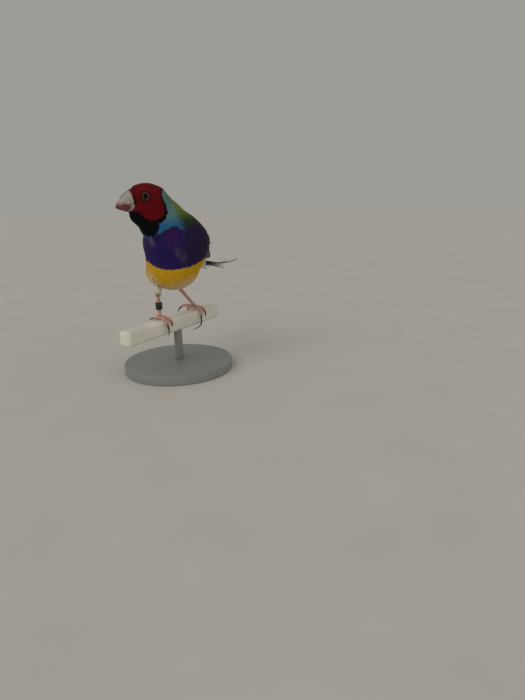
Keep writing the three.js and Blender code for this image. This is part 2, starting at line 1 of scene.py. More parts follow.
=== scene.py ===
import math
from contextlib import contextmanager
from functools import partial
from itertools import product
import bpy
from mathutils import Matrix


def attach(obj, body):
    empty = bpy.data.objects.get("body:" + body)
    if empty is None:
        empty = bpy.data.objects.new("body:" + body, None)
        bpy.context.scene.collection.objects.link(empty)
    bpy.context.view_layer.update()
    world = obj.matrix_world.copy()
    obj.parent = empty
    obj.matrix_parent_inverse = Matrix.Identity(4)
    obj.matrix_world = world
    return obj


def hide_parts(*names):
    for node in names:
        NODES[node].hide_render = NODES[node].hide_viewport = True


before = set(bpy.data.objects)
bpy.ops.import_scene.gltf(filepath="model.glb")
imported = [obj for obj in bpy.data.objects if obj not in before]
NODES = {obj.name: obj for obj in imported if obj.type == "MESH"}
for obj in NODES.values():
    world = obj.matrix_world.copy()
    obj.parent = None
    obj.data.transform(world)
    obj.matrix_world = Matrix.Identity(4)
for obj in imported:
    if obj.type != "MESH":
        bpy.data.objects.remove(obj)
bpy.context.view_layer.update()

from types import SimpleNamespace

import bpy
import numpy as np
from mathutils import Matrix, Vector
from mathutils.bvhtree import BVHTree

# A gouldian finch on a short perch and a stand: a smooth skin under coats of thin feathers, then
# wings, tail, bill, eyes, legs, ring, perch and stand, and last the floor, the light and the camera

MM = 0.001
RANDOM = np.random.default_rng(11)

# Sizes and places in millimetres, the same as in the part's source

BODY = np.array([3.8, 0.9, 76.7])
HEAD = BODY + [-6.3, -22.0, 27.2]
HEAD_TURN = math.radians(46)
FORWARD = np.array([-math.sin(HEAD_TURN), -math.cos(HEAD_TURN), 0.0])
LEFT = np.array([math.cos(HEAD_TURN), -math.sin(HEAD_TURN), 0.0])
UP = np.array([0.0, 0.0, 1.0])
TAIL_BEND = 0.0012
BEND_START = 5.0
BILL_ROOT = 7.5 * FORWARD + 0.5 * UP

PERCH_SIZE = 9.0
PERCH_CORNER = 2.0
PERCH_NEAR = -44.0
PERCH_FAR = 39.5
PERCH_HEIGHT = 30.0
PERCH_TURN = math.radians(19)
PERCH_ALONG = np.array([math.sin(PERCH_TURN), math.cos(PERCH_TURN), 0.0])
PERCH_SIDE = np.array([math.cos(PERCH_TURN), -math.sin(PERCH_TURN), 0.0])

EYE_RADIUS = 2.3
EYE_PLACE = (2.9, 5.75, 2.3)
EYE_TILT = 0.12 * FORWARD + 0.08 * UP

STAND_RADIUS = 34.0
STAND_THICK = 6.0
POST_RADIUS = 2.6

# Half width, half height and middle height of the sleeve that the folded wings lie on
SLEEVE_SIDE = [(-6, 16.2), (2, 16.6), (8, 16.2), (13, 15), (18, 13), (28, 8.8), (38, 5.6), (48, 3.2), (56, 2)]
SLEEVE_TALL = [(-6, 15), (8, 13), (18, 10.5), (28, 7.6), (38, 5.6), (48, 4.2), (56, 3.4)]
SLEEVE_HEIGHT = [(-6, 6.6), (8, 3.2), (18, -0.2), (28, -3.6), (38, -6), (48, -8.4), (56, -10.1)]
WING_MIDDLE = 0.6
WING_START = -3.0
TAIL_START = 34.0
TAIL_HEIGHT = -12.6
TAIL_SLOPE = 0.2
TAIL_ROUND = 26

FLESH = ["head", "neck", "breast", "belly", "back", "rump"]


def rgb(code):
    """Linear colour from a hex code."""
    parts = np.array([int(code[k : k + 2], 16) for k in (1, 3, 5)]) / 255
    return np.where(parts <= 0.04045, parts / 12.92, ((parts + 0.055) / 1.055) ** 2.4)


RED = rgb("#720815")
SCARLET = rgb("#7e160f")
LORES = rgb("#3c070c")
BLACK = rgb("#050506")
TURQUOISE = rgb("#649196")
BLUE = rgb("#2a6fa8")
LIME = rgb("#7a8e3f")
GREEN = rgb("#4b6c31")
OLIVE = rgb("#474d33")
SHADOW_OLIVE = rgb("#23292a")
PURPLE = rgb("#2b1b5c")
MAUVE = rgb("#402052")
# A dark purple grey painted as shade: on the chest's side away from the light, and on wing coverts shaded by the flank
# and the shoulder
PAINTED_SHADE = rgb("#2c2035")
PALE = rgb("#97839a")
BROWN = rgb("#6b5560")
YELLOW = rgb("#d6a61d")
WHITE = rgb("#e2dccb")
RUMP_BLUE = rgb("#6fa0ae")
DARK = rgb("#17130f")
PEARL = rgb("#b1aba2")
PEARL_SHADE = rgb("#9b918a")
PINK = rgb("#9c5653")
MAROON = rgb("#662026")
RIDGE = rgb("#4a413d")
THIGH_LOW = rgb("#a08474")
QUILL_EDGE = rgb("#a79d7c")


# Numbers


def unit(v):
    return v / np.maximum(np.linalg.norm(v, axis=-1, keepdims=True), 1e-9)


def distance(points, place):
    return np.linalg.norm(points - place, axis=-1)


def ease(low, high, x):
    """0 below low, 1 above high, smooth between."""
    t = np.clip((x - low) / (high - low), 0, 1)
    return t * t * (3 - 2 * t)


def blend(a, b, share):
    return a + (b - a) * share


def over(colour, base, share):
    """One colour laid over another by a share at each place."""
    return base + (colour - base) * np.clip(share, 0, 1)[..., None]


def waver(points, scale, seed=0.0):
    """A smooth wavy number between -1 and 1."""
    x, y, z = (points / scale + seed).T
    first = np.sin(x * 1.7 + 2.1 * np.sin(y * 0.9))
    second = np.sin(y * 1.9 + 1.7 * np.sin(z * 1.1))
    return (first + second + np.sin(z * 2.1 + 1.9 * np.sin(x * 1.3))) / 3


def curve(points, x):
    """Values on a smooth curve through a few (x, value) pairs."""
    xs, ys = np.array(points, float).T
    last = len(xs) - 1
    low = np.maximum(np.arange(last + 1) - 1, 0)
    high = np.minimum(np.arange(last + 1) + 1, last)
    slope = (ys[high] - ys[low]) / (xs[high] - xs[low])
    x = np.asarray(x, float)
    k = np.clip(np.searchsorted(xs, x) - 1, 0, last - 1)
    step = xs[k + 1] - xs[k]
    t = np.clip((x - xs[k]) / step, 0, 1)
    cube, square = t**3, t**2
    first = (2 * cube - 3 * square + 1) * ys[k] + (cube - 2 * square + t) * slope[k] * step
    return first + (3 * square - 2 * cube) * ys[k + 1] + (cube - square) * slope[k + 1] * step


def stretches(points, stops, past=1.0):
    """For each stretch of a line of stops: its way, the share of it nearest to each point,
    the step from there to the point, and how far along the line that is."""
    travelled = 0.0
    for start, end in zip(stops, stops[1:]):
        way = end - start
        size = np.linalg.norm(way)
        share = np.clip((points - start) @ way / size**2, 0, past)
        yield way, share, points - start - share[:, None] * way, travelled + share * size
        travelled += size


# Places on the bird and the perch


def on_body(x, y, z):
    return BODY + np.stack(np.broadcast_arrays(x, y, z), -1).astype(float)


def on_head(forward, left, up):
    way = np.asarray(forward)[..., None] * FORWARD
    return HEAD + way + np.asarray(left)[..., None] * LEFT + np.asarray(up)[..., None] * UP


def in_head(points):
    """How far forward, left and up from the head's middle points are."""
    from_head = points - HEAD
    return from_head @ FORWARD, from_head @ LEFT, from_head[:, 2]


def on_perch(along, side, up):
    return np.array([0, 0, PERCH_HEIGHT + up]) + along * PERCH_ALONG + side * PERCH_SIDE


def bend_tail(points):
    """The body's end curves toward its left."""
    past = np.maximum(points[..., 1] - BODY[1] - BEND_START, 0)
    bent = points.copy()
    bent[..., 0] += TAIL_BEND * past * past
    return bent


def lay_on_sleeve(side, along, across, lift):
    """Places on or over a folded wing, along it from the shoulder and across it round its edge."""
    wide = curve(SLEEVE_SIDE, along)
    tall = curve(SLEEVE_TALL, along)
    angle = across / tall
    out_x, out_z = np.cos(angle) / wide, np.sin(angle) / tall
    size = np.hypot(out_x, out_z)
    x = wide * np.cos(angle) + out_x / size * lift
    z = curve(SLEEVE_HEIGHT, along) + tall * np.sin(angle) + out_z / size * lift
    return bend_tail(on_body(WING_MIDDLE + side * x, WING_START + along, z))


def lay_on_tail(along, across, lift):
    z = TAIL_HEIGHT - TAIL_SLOPE * along + lift - across**2 / TAIL_ROUND
    return bend_tail(on_body(across, TAIL_START + along, z))


def eye_middle(side, out=0.0):
    return on_head(EYE_PLACE[0], side * (EYE_PLACE[1] + out), EYE_PLACE[2])


def from_eyes(points, out):
    """Distance to the nearer eye, or to a place straight out of it."""
    return np.minimum(*[distance(points, eye_middle(side, out)) for side in (-1, 1)])


def round_eye(points, side):
    """An eye's axis, how far out along it points are, and the step from it to each."""
    axis = unit(side * LEFT + EYE_TILT)
    from_eye = points - eye_middle(side)
    out = from_eye @ axis
    return axis, out, from_eye - out[:, None] * axis


# Making pieces


def only(piece):
    bpy.ops.object.select_all(action="DESELECT")
    piece.select_set(True)
    bpy.context.view_layer.objects.active = piece


@contextmanager
def edit_mode(piece):
    """Edit mode with all of one piece selected."""
    only(piece)
    bpy.ops.object.mode_set(mode="EDIT")
    bpy.ops.mesh.select_all(action="SELECT")
    yield
    bpy.ops.object.mode_set(mode="OBJECT")


def apply(piece, kind, **settings):
    only(piece)
    modifier = piece.modifiers.new(kind.title(), kind)
    for key, value in settings.items():
        setattr(modifier, key, value)
    bpy.ops.object.modifier_apply(modifier=modifier.name)


def remesh(piece, voxel, rounds):
    apply(piece, "REMESH", mode="VOXEL", voxel_size=voxel * MM)
    apply(piece, "SMOOTH", factor=0.5, iterations=rounds)


def bevel(piece, width, segments, sharp, smooth):
    """Rounds the edges sharper than one angle, and shades smoothly below another."""
    limit = math.radians(sharp)
    apply(piece, "BEVEL", width=width * MM, segments=segments, limit_method="ANGLE", angle_limit=limit)
    bpy.ops.object.shade_smooth_by_angle(angle=math.radians(smooth))


def finish_piece(piece, slot, material, *nodes):
    """Rides a piece on the root, hides the nodes it stands for, and dresses it; the slot is not used."""
    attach(piece, "root")
    if nodes:
        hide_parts(*nodes)
    piece.data.materials.clear()
    piece.data.materials.append(material)
    return piece


def new_piece(name, points, triangles):
    """A mesh of triangles, points in millimetres."""
    mesh = bpy.data.meshes.new(name)
    triangles = np.asarray(triangles, np.int32)
    mesh.vertices.add(len(points))
    mesh.vertices.foreach_set("co", (np.asarray(points) * MM).astype(np.float32).ravel())
    mesh.loops.add(triangles.size)
    mesh.loops.foreach_set("vertex_index", triangles.ravel())
    mesh.polygons.add(len(triangles))
    mesh.polygons.foreach_set("loop_start", np.arange(0, triangles.size, 3, dtype=np.int32))
    mesh.update(calc_edges=True)
    mesh.validate()
    piece = bpy.data.objects.new(name, mesh)
    bpy.context.collection.objects.link(piece)
    return piece


def primitive(add, name, **settings):
    """A piece from one of Blender's primitives, with its place in its mesh."""
    bpy.ops.object.select_all(action="DESELECT")
    add(**settings)
    piece = bpy.context.object
    piece.name = piece.data.name = name
    bpy.ops.object.transform_apply(location=True, rotation=True, scale=True)
    return piece


def copy_of(names, name):
    """One merged piece from copies of frame nodes."""
    copies = []
    for each in names:
        copied = NODES[each].copy()
        copied.data = NODES[each].data.copy()
        copied.parent = None
        copied.hide_viewport = copied.hide_render = False
        copied.data.materials.clear()
        bpy.context.collection.objects.link(copied)
        copies.append(copied)
    for each in copies:
        with edit_mode(each):
            bpy.ops.mesh.remove_doubles(threshold=1e-6)
            bpy.ops.mesh.normals_make_consistent(inside=False)
    only(copies[0])
    for each in copies:
        each.select_set(True)
    if len(copies) > 1:
        bpy.ops.object.join()
    joined = bpy.context.object
    joined.name = joined.data.name = name
    return joined


def smoothed(node, name, voxel, rounds):
    """A smooth copy of one node."""
    piece = copy_of([node], name)
    remesh(piece, voxel, rounds)
    bpy.ops.object.shade_smooth()
    return piece


def vertex_values(piece, kind):
    found = np.empty(len(piece.data.vertices) * 3, np.float32)
    piece.data.vertices.foreach_get(kind, found)
    return found.reshape(-1, 3).astype(float)


def points_of(piece):
    return vertex_values(piece, "co") / MM


def normals_of(piece):
    return vertex_values(piece, "normal")


def triangles_of(piece):
    mesh = piece.data
    mesh.calc_loop_triangles()
    corners = np.empty(len(mesh.loop_triangles) * 3, np.int32)
    mesh.loop_triangles.foreach_get("vertices", corners)
    return corners.reshape(-1, 3)


def set_points(piece, points):
    piece.data.vertices.foreach_set("co", (points * MM).astype(np.float32).ravel())
    piece.data.update()


def set_marks(piece, colours):
    """The colour attribute that the materials read, from one colour or one a vertex."""
    layer = piece.data.color_attributes.new("marks", "FLOAT_COLOR", "POINT")
    full = np.ones((len(piece.data.vertices), 4), np.float32)
    full[:, :3] = colours
    layer.data.foreach_set("color", full.ravel())


def set_numbers(piece, name, numbers):
    layer = piece.data.attributes.new(name, "FLOAT", "POINT")
    layer.data.foreach_set("value", np.asarray(numbers, np.float32).ravel())


def set_map(piece, name, places):
    """A UV map from one place a vertex."""
    layer = piece.data.uv_layers.new(name=name)
    corners = np.empty(len(piece.data.loops), np.int32)
    piece.data.loops.foreach_get("vertex_index", corners)
    layer.data.foreach_set("uv", np.asarray(places, np.float32)[corners].ravel())


# The bird's markings: the face mask's outline forward and up from the head's middle, the bib's
# stops with their radius, and the purple chest's upper and lower edge by the angle round the body

MASK = np.array([
    (-8.1, 6.6), (-6.2, 4.4), (-5.6, 1.9), (-7.2, -2.4), (-7.4, -6.1), (-6.0, -8.1), (-4.3, -9.4), (-1.6, -10.3),
    (1.0, -10.5), (3.2, -9.3), (4.9, -8.2), (6.4, -6.6), (7.5, -5.4), (20, -5.4), (20, 14), (-8.1, 14),
])
BIB = [((9.5, 0.0, -6.5), 4.6), ((5.0, 0.3, -10.5), 6.0), ((0.4, 2.0, -12.8), 6.3)]
PURPLE_TOP = [
    (-180, 14), (-77, 14), (-60, 12), (-45, 8.9), (-38, 7.9), (-12, 7.9), (1, 9.5), (8, 11.6),
    (18, 13.5), (24, 13.3), (30, 12.2), (38, 11.2), (47, 12.8), (59, 14.2), (77, 15.2), (180, 15.2),
]
PURPLE_LOW = [
    (-180, -6), (-82, -6.2), (-60, -6.6), (-36, -7.2), (-26, -8.4), (-13, -9.9), (0, -10.9),
    (11, -11.2), (25, -11), (45, -10.2), (63, -8.5), (82, -6.8), (180, -6),
]
COLLAR_WIDTH = [(-16, 13.5), (-13.5, 11.5), (-10, 8.6), (-6, 6.6), (-2.5, 5.4), (1, 4.6), (4, 3.4), (6.5, 2.6)]
BLACK_WIDTH = [(-12, 2.2), (-9, 1.9), (-5, 1.5), (0, 1.0), (6, 0.7)]


def line_at(table, x):
    return np.interp(x, *np.array(table, float).T)


def signed_reach(flat, outline):
    """Distance to a closed outline, below zero inside it."""
    start, end = outline, np.roll(outline, -1, axis=0)
    way = end - start
    from_start = flat[:, None, :] - start
    share = np.clip((from_start * way).sum(-1) / (way * way).sum(-1), 0, 1)
    nearest = np.linalg.norm(from_start - share[..., None] * way, axis=-1).min(1)
    above = (start[:, 1] <= flat[:, None, 1]) != (end[:, 1] <= flat[:, None, 1])
    rise = np.where(way[:, 1] == 0, 1e-9, way[:, 1])
    crossing = start[:, 0] + (flat[:, None, 1] - start[:, 1]) * way[:, 0] / rise
    inside = (above & (flat[:, None, 0] < crossing)).sum(1) % 2 == 1
    return np.where(inside, -nearest, nearest)


def bib_reach(points):
    """Distance to the bib, below zero inside it."""
    places, radii = zip(*BIB)
    found = stretches(points, [on_head(*place) for place in places])
    return np.minimum.reduce([
        np.linalg.norm(away, axis=-1) - blend(*pair, share)
        for (_, share, away, _), pair in zip(found, zip(radii, radii[1:]))
    ])


def patch(points, place, size):
    """1 near a place on the body, fading to 0 with a wavy edge, longest up and down."""
    away = np.linalg.norm((points - on_body(*place)) * (1, 1, 0.62), axis=1)
    return ease(size, 0.1 * size, away + 0.9 * waver(points * (2.2, 2.2, 0.8), 1.6, 2.0))


def body_marks(points, ragged):
    """Green back, pale blue rump, yellow belly, and white at the vent and the thighs."""
    x, y, z = (points - BODY).T
    flank = -3.5 - 0.24 * np.maximum(y, 0)
    colour = over(OLIVE, GREEN, 0.85 * ease(4, 13, np.abs(x)) * ease(-20, -6, y) * ease(20, 10, z))
    colour = over(LIME, colour, 0.85 * ease(14, 23, z) * ease(2, -8, y))
    shoulder = ease(4, 12.5, np.abs(x)) * ease(23, 13.5, z + ragged) * ease(3, -6, y)
    colour = over(SHADOW_OLIVE, colour, 0.92 * shoulder)
    colour = over(RUMP_BLUE, colour, ease(23, 28, y + 2 * ragged))
    colour = over(YELLOW, colour, ease(0.8, -0.8, z - flank + 2 * ragged))
    colour = over(WHITE, colour, ease(27, 33, y) * ease(1, -1, z - flank) * ease(-11, -15, z))
    lowest = ease(-15.5, -22, z - 0.12 * x + 2 * ragged) * ease(-19, -8, y + 3 * ragged)
    colour = over(WHITE, colour, 0.55 * lowest)
    return over(WHITE, colour, 0.8 * patch(points, (-9.5, -12.5, -17.0), 6.5))


def chest_marks(points, ragged):
    """The purple chest's colour, and where it is."""
    x, y, z = (points - BODY).T
    around = np.degrees(np.arctan2(x, -y))
    soft_side = -0.5 - 2.2 * ease(20, 60, around)
    chest = ease(0.5, soft_side, z - line_at(PURPLE_TOP, around) + 1.5 * ragged)
    chest = chest * ease(-0.25, 0.25, z - line_at(PURPLE_LOW, around) + 0.7 * ragged)
    # Painted shade: the purple darkens round the bird's left side, away from the light
    violet = over(PAINTED_SHADE, PURPLE, 0.85 * ease(14, 62, around + 40 * ragged))
    violet = over(MAUVE, violet, 0.6 * patch(points, (4.5, -20.5, 9.0), 7.0))
    violet = over(PALE, violet, 0.42 * patch(points, (-5.8, -22.4, 5.6), 3.4))
    strokes = np.maximum(patch(points, (8.6, -18.8, -1.0), 3.2), patch(points, (10.8, -17.2, -5.0), 3.4))
    return over(BROWN, violet, 0.4 * strokes), chest * ease(116, 104, np.abs(around))


def markings(points):
    """The bird's colour at places on its skin or feathers."""
    ragged = 0.32 * waver(points, 0.8)
    forward, left, up = in_head(points)
    mask = signed_reach(np.stack([forward, up], 1), MASK)
    bib = bib_reach(points)
    violet, chest = chest_marks(points, ragged)
    colour = over(violet, body_marks(points, ragged), chest)
    collar = ease(3, -3, mask - line_at(COLLAR_WIDTH, up) + 4 * ragged) * (1 - chest)
    collar = collar * ease(-24, -19, up) * ease(-2, -11, points[:, 1] - BODY[1])
    low = np.maximum(ease(4.5, 0.5, bib) * ease(-7, -11, up), 0.9 * ease(-7.5, -14, up + 2 * ragged))
    colour = over(over(BLUE, TURQUOISE, low), colour, collar)
    line = mask - line_at(BLACK_WIDTH, up)
    colour = over(BLACK, colour, np.maximum(ease(0.3, -0.3, line + ragged), ease(0.3, -0.3, bib + ragged)))
    red = over(SCARLET, RED, 0.5 * ease(-0.1, 0.7, waver(points, 2.6, 4.0)))
    lores = np.linalg.norm(np.stack([forward - 7.6, left - np.sign(left) * 3.6, up - 0.4]), axis=0)
    red = over(LORES, red, 0.85 * ease(4.4, 1.4, lores))
    red = over(LORES, red, 0.55 * ease(-1.6, -0.1, mask))
    red = over(LORES, red, 0.5 * ease(3.6, 2.6, from_eyes(points, 1.6)))
    return over(red, colour, ease(0.15, -0.15, mask + 0.7 * ragged))


# The skin, and how feathers lie on it

SKIN_SWELL = 0.2
SKIN_VOXEL = 0.45
SKIN_INSET = 0.12
NAPE = on_head(-10.5, 1.5, 4.0)
NAPE_FILL = 0.8
BILL_JOIN = 0.2
SOCKET_DEPTH = 1.2
# Distance from the bill's root against the coat's depth, and against a feather's length
COAT_DEPTH = [(4, 0.1), (7, 0.25), (14, 0.4), (26, 0.7), (40, 0.95)]
FEATHER_LENGTH = [(3.5, 0.85), (8, 1.15), (15, 1.7), (24, 2.7), (38, 3.9), (60, 4.9)]
# Places, the way that feathers lie there, and how far each place counts
LIE = [
    (on_head(9, 0, 1), -FORWARD, 5),
    (on_head(-2, 0, 2), -0.9 * FORWARD - 0.35 * UP, 6),
    (on_head(-8, 0, -3), -0.35 * FORWARD - 0.94 * UP, 6),
    (on_head(3, 0, -9), -0.6 * FORWARD - 0.8 * UP, 5),
    (on_body(-3, -15, 15), (0.05, 0.25, -1.0), 6),
    (on_body(0, -16, 2), (0.0, 0.12, -1.0), 9),
    (on_body(0, -11, -13), (0.0, 0.75, -0.65), 7),
    (on_body(0, 5, -17), (0.0, 1.0, -0.05), 9),
    (on_body(1, -2, 18), (0.0, 0.93, -0.36), 8),
    (on_body(0, 15, 8), (0.0, 1.0, -0.38), 9),
    (on_body(18, 0, 2), (0.0, 0.8, -0.6), 8),
    (on_body(-18, 0, 2), (0.0, 0.8, -0.6), 8),
    (on_body(0, 28, -9), (0.0, 1.0, -0.2), 9),
]


def from_bill(points):
    return np.linalg.norm(points - HEAD - BILL_ROOT, axis=1)


def coat_depth(points):
    """How deep the feathers lie over the skin, least round the bill and the eyes."""
    return line_at(COAT_DEPTH, from_bill(points)) * ease(1.8, 3.6, from_eyes(points, 0.0)) * 0.95 + 0.05


def feather_length(points):
    return line_at(FEATHER_LENGTH, from_bill(points))


def make_skin():
    """One smooth skin from the flesh nodes, inside them by the coat's depth."""
    skin = copy_of(FLESH, "skin")
    apply(skin, "DISPLACE", strength=SKIN_SWELL * MM, mid_level=0.0)
    remesh(skin, SKIN_VOXEL, 7)
    points = points_of(skin)
    set_points(skin, points - normals_of(skin) * (coat_depth(points) + SKIN_INSET)[:, None])
    apply(skin, "SMOOTH", factor=0.5, iterations=2)
    points, normals = points_of(skin), normals_of(skin)
    nape = np.linalg.norm((points - NAPE) * (1, 1, 0.8), axis=1)
    join = ease(4.6, 5.6, (points - HEAD) @ FORWARD) * (np.abs(normals @ FORWARD) < 0.8)
    points += normals * (NAPE_FILL * ease(7, 1.5, nape) + BILL_JOIN * join)[:, None]
    for side in (-1, 1):
        axis, out, off = round_eye(points, side)
        socket = ease(1.75, 1.35, np.linalg.norm(off, axis=1)) * (out > 0)
        points -= axis * (SOCKET_DEPTH * socket)[:, None]
    set_points(skin, points)
    bpy.ops.object.shade_smooth()
    set_marks(skin, markings(points_of(skin)))
    return finish_piece(skin, "belly_feathers", SHADED_DOWN, *FLESH)


def lie_at(points):
    """The way feathers lie, from the bill backward."""
    total = np.zeros((len(points), 3))
    for centre, way, reach in LIE:
        weight = 1 / (((points - centre) ** 2).sum(1) / reach**2 + 0.3) ** 2.5
        total += weight[:, None] * (way / np.linalg.norm(way))
    return unit(total)


def level_with(ways, normals):
    return unit(ways - (ways * normals).sum(-1, keepdims=True) * normals)


def scatter(points, spacing):
    """The places kept so that no two are closer than their spacing."""
    kept, cells = [], {}
    for k, (place, space) in enumerate(zip(points.tolist(), spacing.tolist())):
        level = math.floor(math.log2(space) * 2)
        size = 2 ** ((level + 1) / 2)
        cell = [int(c // size) for c in place]
        boxes = product((level,), *((c - 1, c, c + 1) for c in cell))
        if not any(math.dist(place, other) < space for box in boxes for other in cells.get(box, ())):
            kept.append(k)
            cells.setdefault((level, *cell), []).append(place)
    return np.array(kept)


def places_on(piece, count):
    """Random places on a piece's surface, more where the feathers are short, with their normals."""
    corners = triangles_of(piece)
    points, normals = points_of(piece), normals_of(piece)
    a, b, c = (points[corners[:, k]] for k in range(3))
    area = np.linalg.norm(np.cross(b - a, c - a), axis=1) / 2
    dense = area / feather_length((a + b + c) / 3) ** 2
    picked = RANDOM.choice(len(area), count, p=dense / dense.sum())
    s, t = RANDOM.random((2, count))
    flip = s + t > 1
    s, t = np.where(flip, 1 - s, s), np.where(flip, 1 - t, t)
    place = a[picked] + s[:, None] * (b - a)[picked] + t[:, None] * (c - a)[picked]
    shares = (1 - s - t, s, t)
    normal = sum(normals[corners[picked, k]] * share[:, None] for k, share in enumerate(shares))
    return place, unit(normal)


def thinned(places, facing, space):
    kept = scatter(places, np.full(len(places), space))
    return places[kept], facing[kept]


def tree_of(*pieces):
    """A search tree over the surfaces of one or more pieces."""
    points, faces, first = [], [], 0
    for piece in pieces:
        points.append(points_of(piece))
        faces.append(triangles_of(piece) + first)
        first += len(points[-1])
    return BVHTree.FromPolygons(np.concatenate(points).tolist(), np.concatenate(faces).tolist())


def walk(tree, roots, ways, length, steps):
    """Paths that follow the skin from each root, with the skin's normal at each step."""
    path = np.empty((len(roots), steps + 1, 3))
    facing = np.empty_like(path)
    for k, (place, way) in enumerate(zip(roots, ways)):
        for step in range(steps + 1):
            found, normal = (np.array(each) for each in tree.find_nearest(place)[:2])
            path[k, step], facing[k, step] = found, normal
            way = way - (way @ normal) * normal
            way = way / max(np.linalg.norm(way), 1e-9)
            place = found + way * (length[k] / steps)
    return path, facing


# Feathers

# Outlines give a feather's width, and rises its height, by the share of its length
CONTOUR_OUTLINE = [(0, 0.35), (0.3, 0.9), (0.6, 1.0), (0.85, 0.8), (1, 0.5)]
CONTOUR_RISE = [(0, -0.2), (0.35, 0.4), (0.7, 0.8), (1, 0.78)]
STREAMER_OUTLINE = [(0, 0.7), (0.3, 0.95), (0.5, 0.85), (0.7, 0.6), (0.88, 0.34), (1, 0.06)]
QUILL_OUTLINE = [(0, 0.42), (0.12, 0.8), (0.35, 1.0), (0.75, 0.96), (0.92, 0.72), (1, 0.2)]
COVERT_OUTLINE = [(0, 0.45), (0.3, 0.95), (0.6, 1.0), (0.85, 0.82), (1, 0.35)]
FLAT = [(0, 0), (1, 0)]

# The unwrap's line through the bird, and the way up from each stretch of it
SPINE = [
    on_head(9, 0, 0), on_head(-3, 0, -1), on_body(-2, -10, 11),
    on_body(0, 4, -1), on_body(0, 22, -7), on_body(0, 90, -25),
]
SPINE_UP = np.array([[0, 0, 1], [0, 0.3, 1], [0, 0.8, 0.6], [0, 0.1, 1], [0, 0.1, 1]], float)
SPINE_LENGTH = 190
PATCH_SIZE = 0.0015
MAP_EDGE = 0.004
# Where along a feather its own colour is read, and how much of it the whole feather takes
COLOUR_AT = 0.65
COLOUR_SHARE = 0.5
# How far a tip's barbs stand back or out, in turn, and how much each may differ
BARB_STEPS = (-1.5, 0.5)
BARB_CHANGE = 0.8


def grid_faces(index):
    """Two triangles for each square of a grid of vertex numbers."""
    a, b, c, d = index[:-1, :-1], index[:-1, 1:], index[1:, 1:], index[1:, :-1]
    return np.stack([a, b, c, a, c, d], -1).reshape(-1, 3)


def vane_net(rows, columns):
    """Triangles of a thin closed vane: a grid above, a flat strip below and a fan at each end."""
    index = np.arange(rows * columns).reshape(rows, columns)
    fans = [np.stack([np.full(columns - 2, line[0]), line[1:-1], line[2:]], 1) for line in (index[0], index[-1])]
    return np.concatenate([grid_faces(index), grid_faces(index[:, [0, -1]])[:, ::-1], fans[0][:, ::-1], fans[1]])


def lay_vanes(path, facing, wide, outline, camber, frayed, tall=1.0, rise=FLAT, shaft=0.0, columns=5):
    """Feathers along paths, wide and tall by one number or one each, outline and rise (share, value) pairs."""
    count, rows, _ = path.shape
    share = np.linspace(0, 1, rows)
    run = np.gradient(path, axis=1)
    facing = unit(facing)
    side = unit(np.cross(facing, run))
    out = unit(np.cross(run, side))
    across = np.linspace(-1, 1, columns)
    half = np.broadcast_to(wide, count)[:, None] / 2 * np.maximum(curve(outline, share), 0)[None, :]
    height = (np.reshape(tall, (-1, 1)) * curve(rise, share)[None, :])[:, :, None]
    height = height + half[:, :, None] * (camber * (1 - across**2))
    height = height + shaft * (1 - np.minimum(np.abs(across) * 4, 1)) * (1 - share)[None, :, None]
    points = path[:, :, None, :] + side[:, :, None, :] * (half[:, :, None] * across)[..., None]
    points = points + out[:, :, None, :] * height[..., None]
    length = np.linalg.norm(run, axis=2).sum(1)
    notch = np.take(BARB_STEPS, np.arange(columns) % 2)
    ragged = notch + RANDOM.uniform(-BARB_CHANGE, BARB_CHANGE, (count, columns))
    fray = frayed * length[:, None] * ragged - 0.1 * length[:, None] * across**2
    points[:, -1] += unit(run[:, -1])[:, None, :] * fray[..., None]
    steps = np.linalg.norm(np.diff(path, axis=1), axis=2)
    along = np.concatenate([np.zeros((count, 1)), np.cumsum(steps, 1)], 1)
    vane = np.stack(np.broadcast_arrays(half[:, :, None] * across, along[:, :, None]), -1)
    return SimpleNamespace(
        points=points.reshape(count, rows * columns, 3), vane=vane.reshape(count, rows * columns, 2),
        share=np.repeat(share, columns), rows=rows, columns=columns,
    )


def unwrap(points):
    """A place on an unwrap of the bird's own shape: round it, and back from the bill."""
    best = np.full(len(points), 1e9)
    place = np.zeros((len(points), 2))
    for (way, _, away, along), up in zip(stretches(points, SPINE), SPINE_UP):
        reach = np.linalg.norm(away, axis=1)
        side = unit(np.cross(way, up))
        angle = np.arctan2(away @ side, away @ unit(np.cross(side, way)))
        near = reach < best
        place[near] = np.stack([0.5 + angle / (2 * math.pi) * 0.98, along / SPINE_LENGTH], 1)[near]
        best = np.minimum(best, reach)
    return np.clip(place, MAP_EDGE, 1 - MAP_EDGE)


def make_coat(name, slot, vanes, material, colours=None, nodes=()):
    """One joined piece of like feathers, with the bird's markings unless it is given colours."""
    points, share = vanes.points, vanes.share
    count, each, _ = points.shape
    net = vane_net(vanes.rows, vanes.columns)[None] + (np.arange(count) * each)[:, None, None]
    piece = new_piece(name, points.reshape(-1, 3), net.reshape(-1, 3))
    if colours is None:
        middle = points[:, share == share[np.abs(share - COLOUR_AT).argmin()]].mean(1)
        colours = markings(blend(points, middle[:, None], COLOUR_SHARE).reshape(-1, 3))
    set_marks(piece, colours)
    set_numbers(piece, "shade", np.repeat(RANDOM.uniform(-1, 1, count), each))
    set_numbers(piece, "reach", np.tile(share, count))
    set_map(piece, "Vane", vanes.vane.reshape(-1, 2))
    roots = unwrap(points[:, share == 0].mean(1))
    patch_at = np.stack([np.tile(np.linspace(-1, 1, vanes.columns), vanes.rows), share * 2 - 1], 1) * PATCH_SIZE
    set_map(piece, "OFBake", (roots[:, None] + patch_at[None]).reshape(-1, 2))
    piece.data.uv_layers["OFBake"].active_render = False
    only(piece)
    bpy.ops.object.shade_smooth_by_angle(angle=math.radians(75))
    finish_piece(piece, slot, material, *nodes)


# Materials

NODE_GAP = 220
FULL_TURN = 6.283
# Near black, painted as the shade in the gaps between feathers
GAP_SHADE = (0.012, 0.011, 0.012)
PUPIL = (0.004, 0.003, 0.003)


